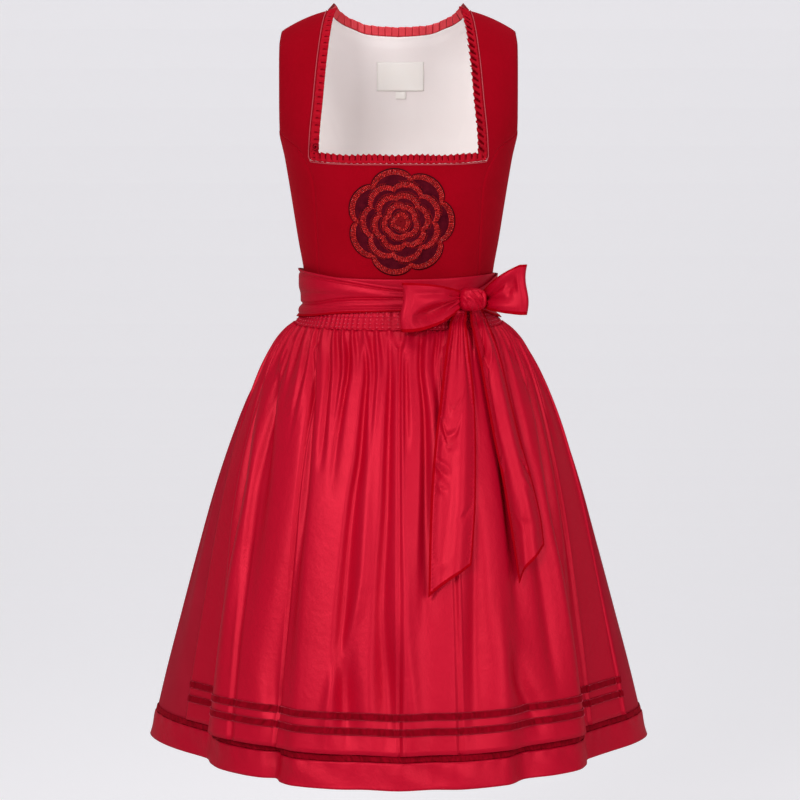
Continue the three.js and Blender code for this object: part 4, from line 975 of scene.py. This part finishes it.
def skirt_creases(hem, drop):
    """Soft folds of the sides, the back and the hem band; they differ from side to side."""
    height = np.zeros(np.broadcast(hem, drop).shape)
    for rows in (
            [(415, -86, 1.6, 0), (520, -84, 2.0, 2.2), (700, -80, 3.4, 2.6), (880, -77, 5, 0.6),
             (965, -75, 6, 0)],
            [(430, -90, 1.5, 0), (560, -88, 2.2, -1.6), (760, -87, 3.2, -1.8), (940, -86, 4, 0)],
            [(415, 86, 1.5, 0), (540, 85, 2.2, 2.2), (760, 82, 3.4, 2.0), (950, 79, 5, 0)],
            [(470, 88, 1.6, 0), (640, 88, 2.2, -1.8), (860, 87, 3.0, -0.8), (955, 86, 4, 0)],
            [(640, 60, 2.5, 0), (800, 63, 3, -1.2), (960, 65, 4, -1.5)],
            [(700, -50, 2.5, 0), (850, -47, 3, 1.0), (966, -44, 4, 1.6)],
            [(760, -20, 3, 0), (900, -19, 4, -1.4), (966, -18, 5, -2.0)],
            [(760, 12, 3, 0), (900, 13, 4, 1.2), (966, 13, 5, 1.8)]):
        height = height + soft_fold(drop, hem, rows, 0.2)
    for number in range(16):
        middle = 98 + number * 10.8 + 2.5 * math.sin(number * 2.1)
        deep = 1.6 + 0.9 * math.sin(number * 1.7 + 0.5)
        reach = 640 + 150 * math.sin(number * 2.7)
        rows = [(392, middle, 1.3, 0), (430, middle, 1.7, deep), (520, middle + 0.8, 2.6, deep),
                (reach, middle, 5, 0)]
        height = height + soft_fold(drop, hem, rows, 0.15)
    return height


front_hems = np.r_[np.linspace(-90, -66, 28), np.linspace(-66, 66, 161)[1:], np.linspace(66, 90, 28)[1:]]
back_hems = np.linspace(90, 270, 181)
skirt_drops = np.r_[np.linspace(HEM, 520, 61), np.linspace(520, WAIST, 37)[1:]]
hem_round, down = grid(front_hems, skirt_drops)
plain = skirt(hem_round, down)
pressed = pressed_in(hem_round, down, 1.6 * gathered(APRON_GATHERS, down))
front_lift = skirt_creases(hem_round, down) * smooth(np.abs(hem_round), 70, 80) + pressed
sew("skirt_front_cloth", raised(plain, front_lift), 0.9, [twill], "skirt_front")
hem_round, down = grid(back_hems, skirt_drops)
wobble = hem_round + 1.3 * sine_of(hem_round * 9.3)
gathers = gathered(BACK_GATHERS, down) * np.cos(np.radians((wobble - 90) * 48))
plain = skirt(hem_round, down)
back_lift = gathers * 1.15 + skirt_creases(hem_round, down)
sew("skirt_back_cloth", raised(plain, back_lift), 0.9, [twill], "skirt_back")

all_round = np.r_[front_hems, back_hems[1:-1]]
for name, node, finish, slot, up, width, rows in (
        ("hem_band", "skirt_hem_band", satin, "satin", 0.0, 33.0, 14),
        ("hem_ribbon", "skirt_ribbon", nap_ribbon, "ribbon", 33.3, 8.0, 6)):
    hem_round, down = grid(all_round, np.linspace(HEM - up, HEM - up - width, rows))
    plain = skirt(hem_round, down)
    share = (HEM - up - down) / width
    pucker = sine_of(hem_round * 83 + 60 * sine_of(hem_round * 11)) * np.exp(-((1 - share) / 0.3) ** 2)
    dent = sine_of(hem_round * 23 + 130 * share) * sine_of(hem_round * 5 + 40) * np.sin(np.pi * share)
    pressed = pressed_in(hem_round, down)
    plain_lift = 1.4 + np.maximum(skirt_creases(hem_round, down), -0.4) + pressed
    lift = plain_lift + (0.6 * pucker + 1.5 * dent + 0.8 if finish is satin else 0.25 * np.sin(np.pi * share))
    sew(name, raised(plain, lift, True), 0.8, [finish], node, closed=True)


# Satin apron
# One width of crimson satin, smocked in rows of small stitches below its waistband, falling in
# fine gathers that run into broad soft folds. Two velvet ribbons are stitched on above the hem.
APRON_HEM, APRON_LEFT, APRON_RIGHT = 926, -71, 77
SMOCKING = {"top": 386.3, "bottom": 412, "side_rise": 7, "ridge": 0.9, "lift": 3.7}
APRON_TOP_LIFT, APRON_FULL_LIFT, APRON_FULL_AT = 4, 5.2, 435


def apron(hem, drop):
    return skirt(hem, drop, apron_fold)


def smock_bottom(hem):
    return SMOCKING["bottom"] - SMOCKING["side_rise"] * (hem / 75) ** 2


def apron_turns(hem):
    """How many gathers lie to the left; they are a little uneven."""
    share = (hem - APRON_LEFT) / (APRON_RIGHT - APRON_LEFT)
    return APRON_GATHERS["waves"] * (share + 0.004 * np.sin(share * 31) + 0.003 * np.sin(share * 53 + 1))


def apron_lift(hem, drop):
    off = mix(APRON_TOP_LIFT, APRON_FULL_LIFT, smooth(drop, SMOCKING["bottom"], APRON_FULL_AT))
    turns = apron_turns(hem)
    ridge = SMOCKING["ridge"] * (1 - smooth(drop, SMOCKING["bottom"], APRON_GATHERS["full"]))
    uneven = dict(APRON_GATHERS, end=505 + 55 * np.sin(turns * 1.9 + 0.5) + 35 * np.sin(turns * 4.3))
    strength = 1.2 + 0.35 * np.sin(turns * 2.4 + 1) + 0.25 * np.sin(turns * 5.3)
    phase = 2 * np.pi * turns + 0.5 * np.sin(turns * 3.1 + drop / 60)
    waves = (ridge + gathered(uneven, drop) * strength) * np.cos(phase)
    between = 0.8 * np.cos(4 * np.pi * turns) * (1 - smooth(drop, 414, 442 + 9 * np.sin(turns * 3.7)))
    return off + waves + between + front_folds(hem, drop)


closer_up = np.r_[np.linspace(0, 0.7, 63), np.linspace(0.7, 1, 71)[1:]]
u, v = grid(np.linspace(APRON_LEFT, APRON_RIGHT, 353), closer_up)
down = mix(APRON_HEM, smock_bottom(u) + 0.3, v)
plain = apron(u, down)
sew("apron_skirt", raised(plain, apron_lift(u, down)), 0.8, [satin], "apron_panel")
stitches = []
for name, up in (("lower", 23), ("upper", 41)):
    low, width = APRON_HEM - up, 9.5
    u, down = grid(np.linspace(APRON_LEFT, APRON_RIGHT, 257), np.linspace(low, low - width, 9))
    plain = apron(u, down)
    edge = 1 - np.abs((low - down) / width * 2 - 1)
    lift = apron_lift(u, down) + 1.0 + 0.5 * smooth(edge, 0, 0.4)
    lifted = raised(plain, lift)
    sew(f"ribbon_{name}", lifted, 0.7, [nap_ribbon], f"apron_ribbon_{name}")
    for row, beside in ((0, 1), (-1, -2)):
        places = lengths(lifted[[row]], 1)[0]
        every = np.arange(1.5, places[-1], 3.2)
        inside = lifted[row] + (lifted[beside] - lifted[row]) * 0.55 + outward(lifted)[row] * 0.35
        stitches.append(np.stack([np.interp(every, places, inside[:, axis]) for axis in range(3)], 1))
spots = np.concatenate(stitches)
scatter("ribbon_stitches", spots, np.full(len(spots), 0.40), thread, small=True)

u, v = grid(np.linspace(APRON_LEFT, APRON_RIGHT, 385), np.linspace(0, 1, 31))
plain = apron(u, mix(smock_bottom(u), SMOCKING["top"], v))
rounds = np.cos(2 * np.pi * v * 5)
ridges = np.cos(2 * np.pi * apron_turns(u) * 2)
lift = SMOCKING["lift"] + SMOCKING["ridge"] * (0.5 + 0.2 * rounds) * ridges - 0.2 * (1 - rounds)
lifted = raised(plain, lift)
sew("smocked_top", lifted, 1.0, [satin], "apron_smocking")
crests = (ridges[0, 1:-1] > ridges[0, :-2]) & (ridges[0, 1:-1] >= ridges[0, 2:])
columns, rows = grid(np.nonzero(crests)[0] + 1, [3, 9, 15, 21, 27])
spots = (lifted + outward(lifted) * 0.3)[rows, columns].reshape(-1, 3)
after = np.minimum(columns + 2, lifted.shape[1] - 1)
along = (lifted[rows, after] - lifted[rows, columns - 2]).reshape(-1, 3)
along /= np.linalg.norm(along, axis=1, keepdims=True)
scatter("smocking_stitches", spots, np.full(len(spots), 0.5), thread, (along, 2.0), True)


def belt(angle, drop):
    """The waist: the body above the waist seam, the unfolded skirt below it."""
    waist, start, radius = hang_from(angle, spread(np.maximum(drop, WAIST)))
    below = np.stack([waist[..., 0] * radius / start, waist[..., 1] * radius / start, -drop], -1)
    return np.where((drop > WAIST)[..., None], below, torso(angle, np.minimum(drop, WAIST)))


u, v = grid(np.linspace(-86, 86, 121), np.linspace(0, 1, 21))
dip = 7 * np.cos(np.radians(u)) ** 2
plain = belt(u, mix(386, 341 + dip - 3.5, v))
lift = 3.2 + 0.4 * np.sin(v * 5 + u / 14) * np.sin(np.pi * v)
sew("waistband", raised(plain, lift), 1.0, [satin], "apron_waistband")


# Ties and bow
# Two long satin ties go from the waistband round the back and come forward, where they are
# crushed into folds and knotted in a bow on the wearer's left, with two loops and two ends.
TIE_LIFT, TIE_WALL = 6.9, 1.0
TIE_LEFT = [(-180, 339, 398), (-135, 336, 399), (-90, 331, 400), (-60, 335, 397), (-30, 343, 390),
            (0, 354, 387), (22, 360, 384), (43, 361, 382)]
TIE_RIGHT = [(47, 361, 382), (60, 352, 390), (75, 342, 398), (90, 338, 402), (135, 338, 400), (178, 339, 398)]


LEFT_CREASES = [
    # (angle round the waist, share up the tie, width as a share, height)
    (0.0, [(-180, 0.90, 0.04, -1.0), (-90, 0.93, 0.035, -2.4), (-45, 0.90, 0.035, -2.8),
           (-10, 0.86, 0.035, -2.6), (20, 0.80, 0.035, -1.8), (43, 0.78, 0.035, -0.6)]),
    (0.0, [(-92, 0.975, 0.03, 0.6), (-50, 0.97, 0.03, 1.3), (20, 0.93, 0.04, 0.9), (43, 0.9, 0.04, 0)]),
    (0.4, [(-180, 0.62, 0.15, 0.6), (-90, 0.66, 0.16, 2.3), (-30, 0.68, 0.16, 2.4), (10, 0.62, 0.16, 2.0),
           (43, 0.6, 0.15, 0.8)]),
    (-0.4, [(-180, 0.34, 0.05, -0.8), (-90, 0.30, 0.045, -2.8), (-60, 0.32, 0.04, -3.4),
            (-20, 0.46, 0.04, -3.4), (10, 0.58, 0.04, -2.4), (38, 0.60, 0.04, 0)]),
    (0.0, [(-180, 0.18, 0.10, 0.8), (-90, 0.17, 0.10, 1.7), (-60, 0.19, 0.10, 1.9),
           (-20, 0.29, 0.11, 1.8), (20, 0.34, 0.12, 1.2), (43, 0.35, 0.12, 0.2)]),
    (0.0, [(-100, 0.07, 0.03, 0), (-80, 0.07, 0.03, -1.8), (-10, 0.08, 0.03, -1.6),
           (43, 0.1, 0.03, -0.6)]),
    (0.0, [(-52, 0.21, 0.03, 0), (-40, 0.26, 0.03, -1.6), (-15, 0.34, 0.03, -1.6), (2, 0.40, 0.03, 0)]),
    (0.0, [(-88, 0.50, 0.03, 0), (-72, 0.52, 0.035, -1.8), (-52, 0.53, 0.035, -1.2),
           (-40, 0.54, 0.03, 0)]),
    (0.0, [(-10, 0.72, 0.03, 0), (12, 0.68, 0.035, -1.4), (43, 0.66, 0.04, -1.8)]),
]
RIGHT_CREASES = [
    (0.0, [(47, 0.18, 0.05, -1.8), (90, 0.14, 0.06, -2.2), (178, 0.12, 0.07, -0.8)]),
    (0.4, [(47, 0.40, 0.09, 1.0), (90, 0.40, 0.10, 1.6), (178, 0.42, 0.11, 0.8)]),
    (0.0, [(47, 0.55, 0.045, -1.8), (80, 0.60, 0.045, -2.6), (130, 0.58, 0.06, -1.6),
           (178, 0.60, 0.07, -0.6)]),
    (0.0, [(60, 0.85, 0.05, 0), (85, 0.84, 0.05, -2.0), (130, 0.86, 0.06, -1.2),
           (178, 0.84, 0.07, -0.4)]),
]

for name, node, rows, columns, lap, creases in (
        ("left_tie", "tie_left", TIE_LEFT, 241, True, LEFT_CREASES),
        ("right_tie", "tie_right", TIE_RIGHT, 121, False, RIGHT_CREASES)):
    first, last = rows[0][0], rows[-1][0]
    start = first - 12 if lap else first
    top, bottom = table(rows, 0, 1), table(rows, 0, 2)
    u, v = grid(np.linspace(start, last, columns), np.linspace(0, 1, 51))
    plain = belt(u, mix(bottom(u), top(u), v))
    over = 1.8 * (1 - smooth(u, first + 4, first + 30)) if lap else 0
    crush = sum(soft_fold(u, v, crease, skew) for skew, crease in creases)
    lift = TIE_LIFT + over + crush * (1 - 0.5 * np.abs(2 * v - 1) ** 6)
    rim = np.repeat((v[:-1, :1] < 0.045).astype(int), columns - 1, 1)
    sew(name, raised(plain, lift), TIE_WALL, [satin, edging], node,
        patch=rim)

KNOT = {"x": 86, "drop": 371, "width": 38, "height": 30, "depth": 27, "heel": 0.25}
knot_angle = angle_of(KNOT["x"], KNOT["drop"])
before, after, above, knot_at = belt(
    knot_angle + np.array([-0.05, 0.05, 0, 0]), KNOT["drop"] - np.array([0, 0, 0.1, 0]))
knot_face = np.cross(after - before, above - knot_at)
knot_face /= np.linalg.norm(knot_face)
knot_back = knot_at + knot_face * (TIE_LIFT + 0.4)
knot_side = np.cross([0, 0, 1.0], knot_face)
knot_side /= np.linalg.norm(knot_side)
knot_up = np.cross(knot_face, knot_side)

u, v = grid(np.linspace(0, 2 * np.pi, 97)[:-1], np.linspace(-np.pi / 2, np.pi / 2, 65))
x, y, z = np.cos(v) * np.cos(u), np.cos(v) * np.sin(u), np.sin(v)
square = (np.abs(np.cos(u)) ** 3 + np.abs(np.sin(u)) ** 3) ** (-1 / 3)
wrap = 17 * (0.87 * x + 0.5 * y)
wrinkle = 0.9 * np.cos(wrap + 0.6 * np.sin(4 * y)) + 0.45 * np.cos(wrap * 1.63 + 1.1) + 0.25 * np.sin(y * 9)
band = 0
for middle, width, deep in ((0.72, 0.2, 1.8), (0.45, 0.07, -1.8), (-0.68, 0.06, -1.5)):
    band = band + deep * np.exp(-((x - middle) / width) ** 2)
wrinkle = (wrinkle * (1 - smooth(x, 0.4, 0.5)) + band) * smooth(z, 0, 0.5)
height = np.where(z < 0, KNOT["heel"] * (1 + z), mix(KNOT["heel"], 0.93, np.maximum(z, 0) ** 0.55))
x, y = x * mix(1, square, 0.8), y * mix(1, square, 0.8)
spots = (knot_back + knot_side * (x * KNOT["width"] / 2)[..., None]
         + knot_up * (y * KNOT["height"] / 2)[..., None]
         + knot_face * (KNOT["depth"] * height + wrinkle)[..., None])
faces = rings_of_faces(*spots.shape[:2])
knot = mould("knot", spots.reshape(-1, 3), faces, [satin])
uv = np.stack([u * 0.019, v * 0.015], -1).reshape(-1, 2)
knot.data.uv_layers.new(name="cloth").data.foreach_set("uv", uv[np.ravel(faces)].ravel())
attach(knot, "root")
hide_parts("bow_knot")

LOOP = {"near_top": 359, "near_bottom": 383, "radius": 6, "tuck": 2.4, "forward": 0.33, "wave": 2.5,
        "turn": 0.08}


def bow_loop(side, start, far_x, far_y, far_top, far_bottom, puff, flare):
    near = knot_back + knot_side * side * (KNOT["width"] / 2 + start)
    near = near + knot_face * KNOT["depth"] * LOOP["forward"]
    far = np.array([far_x, far_y, near[2]])
    reach = (far - near) / np.linalg.norm(far - near)
    face = np.cross([0, 0, -side], reach)

    def form(u, v):
        strip = u if side > 0 else 1 - u
        from_turn = np.abs(strip - 0.5)
        layer, in_turn = np.where(strip < 0.5, 1, -1), from_turn < LOOP["turn"]
        swing = (strip - 0.5) / LOOP["turn"] * np.pi / 2
        t = np.where(in_turn, 1, 1 - (from_turn - LOOP["turn"]) / (0.5 - LOOP["turn"]))
        bulge = puff * np.sin(np.pi * t) * np.where(layer > 0, 1, 0.25)
        apart = layer * (mix(LOOP["tuck"], LOOP["radius"], t) + bulge)
        out = np.where(in_turn, -LOOP["radius"] * np.sin(swing), apart)
        beyond = np.where(in_turn, LOOP["radius"] * np.cos(swing), 0)
        wavy = LOOP["wave"] * np.sin(2 * np.pi * v) * t * t
        open_ = 1 - (1 - t) ** flare
        top, bottom = mix(LOOP["near_top"], far_top, open_), mix(LOOP["near_bottom"], far_bottom, open_)
        place = near + (far - near) * t[..., None] + reach * (beyond + wavy)[..., None]
        place = place + face * out[..., None]
        place[..., 2] = -mix(bottom, top, v)
        return place

    return form


for name, sizes, creases in (
        # (share of the way out from the knot, share up the loop, width, height)
        ("left", (-1, 0.3, 10, -134, 348, 411, 9, 1.8), [
            (-0.5, [(0.02, 0.52, 0.05, 0), (0.15, 0.47, 0.08, -5), (0.35, 0.42, 0.15, -10),
                    (0.58, 0.37, 0.20, -12), (0.78, 0.32, 0.17, -7), (0.92, 0.28, 0.10, 0)]),
            (0.0, [(0.0, 0.70, 0.05, -2.6), (0.16, 0.72, 0.05, -2.4), (0.30, 0.76, 0.05, 0)]),
            (0.0, [(0.0, 0.32, 0.04, -2.2), (0.14, 0.27, 0.05, -2.2), (0.30, 0.20, 0.05, 0)]),
            (0.0, [(0.05, 0.60, 0.10, 0), (0.30, 0.60, 0.13, 1.8), (0.70, 0.58, 0.16, 2.2),
                   (0.95, 0.6, 0.2, 0.5)]),
            (0.0, [(0.35, 0.80, 0.05, 0), (0.55, 0.79, 0.06, -1.8), (0.80, 0.78, 0.07, -1.6),
                   (0.98, 0.78, 0.08, 0)])]),
        ("right", (1, 2.2, 160, -112, 325, 390, 9, 1.1), [
            (0.0, [(0.0, 0.50, 0.05, -3), (0.20, 0.55, 0.07, -4), (0.50, 0.66, 0.08, -4),
                   (0.80, 0.74, 0.08, -1.5), (0.95, 0.76, 0.1, 0)]),
            (0.0, [(0.0, 0.46, 0.05, -2), (0.25, 0.42, 0.06, -2.8), (0.55, 0.36, 0.08, -2.6),
                   (0.85, 0.32, 0.1, 0)]),
            (0.0, [(0.66, 0.50, 0.10, 0), (0.78, 0.58, 0.14, -4.5), (0.88, 0.62, 0.14, -3.5),
                   (0.97, 0.62, 0.14, 0)]),
            (0.0, [(0.10, 0.85, 0.06, 0), (0.40, 0.85, 0.10, 1.8), (0.80, 0.88, 0.10, 1.2),
                   (1.0, 0.88, 0.1, 0)]),
            (0.0, [(0.10, 0.15, 0.06, 0), (0.40, 0.18, 0.10, 2.2), (0.90, 0.16, 0.12, 1.0),
                   (1.0, 0.16, 0.1, 0)])])):
    form = bow_loop(*sizes)
    u, v = grid(np.linspace(0, 1, 161), np.linspace(0, 1, 45))
    plain = form(u, v)
    strip = u if sizes[0] > 0 else 1 - u
    reached = np.minimum(strip / 0.42, 1)
    front = 1 - smooth(strip, 0.39, 0.45)
    lift = sum(soft_fold(reached, v, crease, skew) for skew, crease in creases) * front
    lift = lift + 0.8 * np.sin(v * 21 + strip * 6) * (1 - smooth(strip, 0, 0.16)) * front
    lifted = raised(plain, lift)
    edge = from_edges(lifted, ["bottom", "top"])[:-1, :-1] < 3.1
    sew(f"loop_{name}", lifted, 1.0, [satin, edging], f"bow_loop_{name}",
        patch=edge.astype(int))

# drop, left edge, right edge, how far it stands off the apron
TAIL_LEFT = [(385, 70, 84, 4.5), (409, 64, 84.5, 5.5), (450, 57, 88, 5.5), (500, 51, 93, 5),
             (560, 44, 94.5, 5), (615, 39.5, 94, 5), (669, 37, 91, 5), (738, 35, 84, 5)]
TAIL_RIGHT = [(385, 87, 102, 4.5), (409, 90, 112, 5.5), (450, 98, 126, 5.5), (500, 106, 138, 5),
              (549, 114, 150, 5), (602, 124, 165, 5), (660, 133, 178, 5), (728, 144, 184, 5)]


TAIL_EDGE, TAIL_STITCHES_IN, TAIL_COLUMNS, TAIL_ROWS, STRAIGHTENED = 3.4, 7.2, 49, 221, 9


def hem_angle_at(x, drop):
    """The line down the apron that passes a place, found by halving."""
    low, high = np.full(x.shape, float(APRON_LEFT)), np.full(x.shape, float(APRON_RIGHT))
    for _ in range(26):
        middle = (low + high) / 2
        left_of = apron(middle, drop)[..., 0] < x
        low, high = np.where(left_of, middle, low), np.where(left_of, high, middle)
    return (low + high) / 2


stitches = []
for name, rows, end_left, end_right, folds, crumples in (
        # (drop, share across, width, height)
        ("left", TAIL_LEFT, 738, 700, [
            (0.3, [(390, 0.35, 0.06, 0), (420, 0.30, 0.08, -2.6), (500, 0.20, 0.09, -2.8),
                   (600, 0.22, 0.12, -1.6), (720, 0.25, 0.14, 0)]),
            (0.0, [(390, 0.62, 0.06, -2.4), (430, 0.58, 0.07, -2.6), (480, 0.54, 0.08, 0)]),
            (0.0, [(430, 0.75, 0.12, 0), (500, 0.70, 0.16, 1.8), (620, 0.66, 0.18, 1.6),
                   (730, 0.6, 0.2, 0.4)]),
            (0.0, [(390, 0.86, 0.05, -2.0), (440, 0.84, 0.06, -2.2), (520, 0.86, 0.06, 0)]),
            (0.0, [(560, 0.44, 0.07, 0), (620, 0.47, 0.09, -1.4), (690, 0.46, 0.10, 0)])], [
            # crumples where it was folded away: (share across, drop, width, height)
            [(0.05, 520, 4, 0), (0.16, 528, 5, -3.0), (0.30, 543, 6, -3.8), (0.48, 540, 6, -2.6),
             (0.62, 518, 6, 0)],
            [(0.08, 534, 3, 0), (0.20, 541, 4, 2.0), (0.34, 556, 4, 2.4), (0.54, 553, 5, 0)],
            [(0.25, 505, 4, 0), (0.38, 512, 5, 1.8), (0.55, 505, 6, 1.5), (0.70, 485, 6, 0)],
            [(0.03, 577, 4, 0), (0.10, 580, 4, -2.6), (0.25, 588, 5, -2.8), (0.42, 595, 5, 0)],
            [(0.03, 570, 3, 0), (0.12, 572, 4, 1.8), (0.30, 578, 4, 1.6), (0.44, 585, 4, 0)],
            [(0.10, 600, 4, 0), (0.24, 607, 4, -1.6), (0.40, 612, 5, 0)],
            [(0.55, 650, 6, 0), (0.75, 640, 6, -1.4), (0.95, 625, 6, 0)],
            [(0.05, 690, 6, 0), (0.30, 700, 7, 1.2), (0.60, 690, 8, 0)]]),
        ("right", TAIL_RIGHT, 728, 685, [
            (0.3, [(390, 0.40, 0.06, 0), (412, 0.42, 0.07, -3.2), (470, 0.36, 0.08, -3.4),
                   (530, 0.30, 0.10, -1.6), (600, 0.28, 0.12, 0)]),
            (0.0, [(400, 0.70, 0.12, 0), (450, 0.68, 0.14, 1.8), (600, 0.64, 0.18, 1.6),
                   (700, 0.6, 0.2, 0)]),
            (0.0, [(392, 0.82, 0.05, -2.2), (430, 0.86, 0.05, -2.2), (480, 0.88, 0.05, 0)]),
            (0.0, [(600, 0.55, 0.10, 0), (660, 0.48, 0.12, -2.2), (728, 0.40, 0.14, -2.6)])], [
            [(0.12, 456, 6, 0), (0.28, 450, 6, -3.6), (0.48, 432, 7, -3.8), (0.62, 410, 6, -2.0),
             (0.70, 395, 6, 0)],
            [(0.20, 470, 5, 0), (0.36, 464, 6, 2.4), (0.56, 446, 6, 2.2), (0.72, 424, 6, 0)],
            [(0.02, 580, 3, 0), (0.10, 577, 4, -2.8), (0.24, 570, 4, 0)],
            [(0.02, 590, 3, 0), (0.12, 588, 4, 1.8), (0.26, 580, 4, 0)],
            [(0.70, 572, 4, 0), (0.84, 583, 4, -2.6), (0.97, 594, 4, -1.5), (1.0, 597, 4, 0)],
            [(0.62, 600, 6, 0), (0.80, 610, 6, 1.6), (0.98, 622, 6, 0)],
            [(0.20, 640, 7, 0), (0.45, 655, 8, -1.8), (0.80, 662, 8, 0)]])):
    left, right, rise = (table(rows, 0, k) for k in (1, 2, 3))
    u, v = grid(np.linspace(0, 1, TAIL_COLUMNS), np.linspace(0, 1, TAIL_ROWS))
    down = mix(mix(end_left, end_right, u), rows[0][0], v)
    across = mix(left(down), right(down), u)
    plain = apron(hem_angle_at(across, down), down)
    ripple = 2 * (1 + np.cos(3 * np.pi * u)) * (1 - v * v)
    pressed = sum(soft_fold(down, u, fold, skew) for skew, fold in folds)
    height = APRON_FULL_LIFT + rise(down) + ripple + pressed
    height = height + sum(soft_fold(u, down, crumple, 0.2) for crumple in crumples)
    lifted = raised(plain, height)
    edge = from_edges(lifted, ["left", "right"])
    pucker = 0.4 * np.sin(down / 0.85 + 3 * np.sin(down / 17)) * np.exp(-((edge - 6.4) / 2.2) ** 2)
    lifted = raised(lifted, pucker)
    cell_edge = from_edges(lifted, ["left", "right", "bottom"])[:-1, :-1]
    sew(f"tail_{name}", lifted, 1.0, [satin, edging], f"bow_tail_{name}",
        patch=(cell_edge < TAIL_EDGE).astype(int))
    face, every_row = outward(lifted), np.arange(TAIL_ROWS)
    inset = TAIL_STITCHES_IN / np.maximum(lengths(lifted, 1)[:, -1], 1)
    for share in (inset, 1 - inset):
        column = np.clip(np.round(share * (TAIL_COLUMNS - 1)).astype(int), 0, TAIL_COLUMNS - 1)
        line = lifted[every_row, column] + face[every_row, column] * 0.12
        window = np.ones(2 * STRAIGHTENED + 1) / (2 * STRAIGHTENED + 1)
        line[:, 0] = np.convolve(np.pad(line[:, 0], STRAIGHTENED, "edge"), window, "valid")
        far = lengths(line[:, None], 0)[:, 0]
        every = np.arange(9, far[-1] - 14, 2.7)
        stitches.append(np.stack([np.interp(every, far, line[:, k]) for k in range(3)], 1))
spots = np.concatenate(stitches)
scatter("tail_stitches", spots, np.full(len(spots), 0.42), edging, small=True)


# Sizes
visual_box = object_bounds()
sizes = {"cad": [list(corner) for corner in cad_box], "visual": [list(corner) for corner in visual_box]}
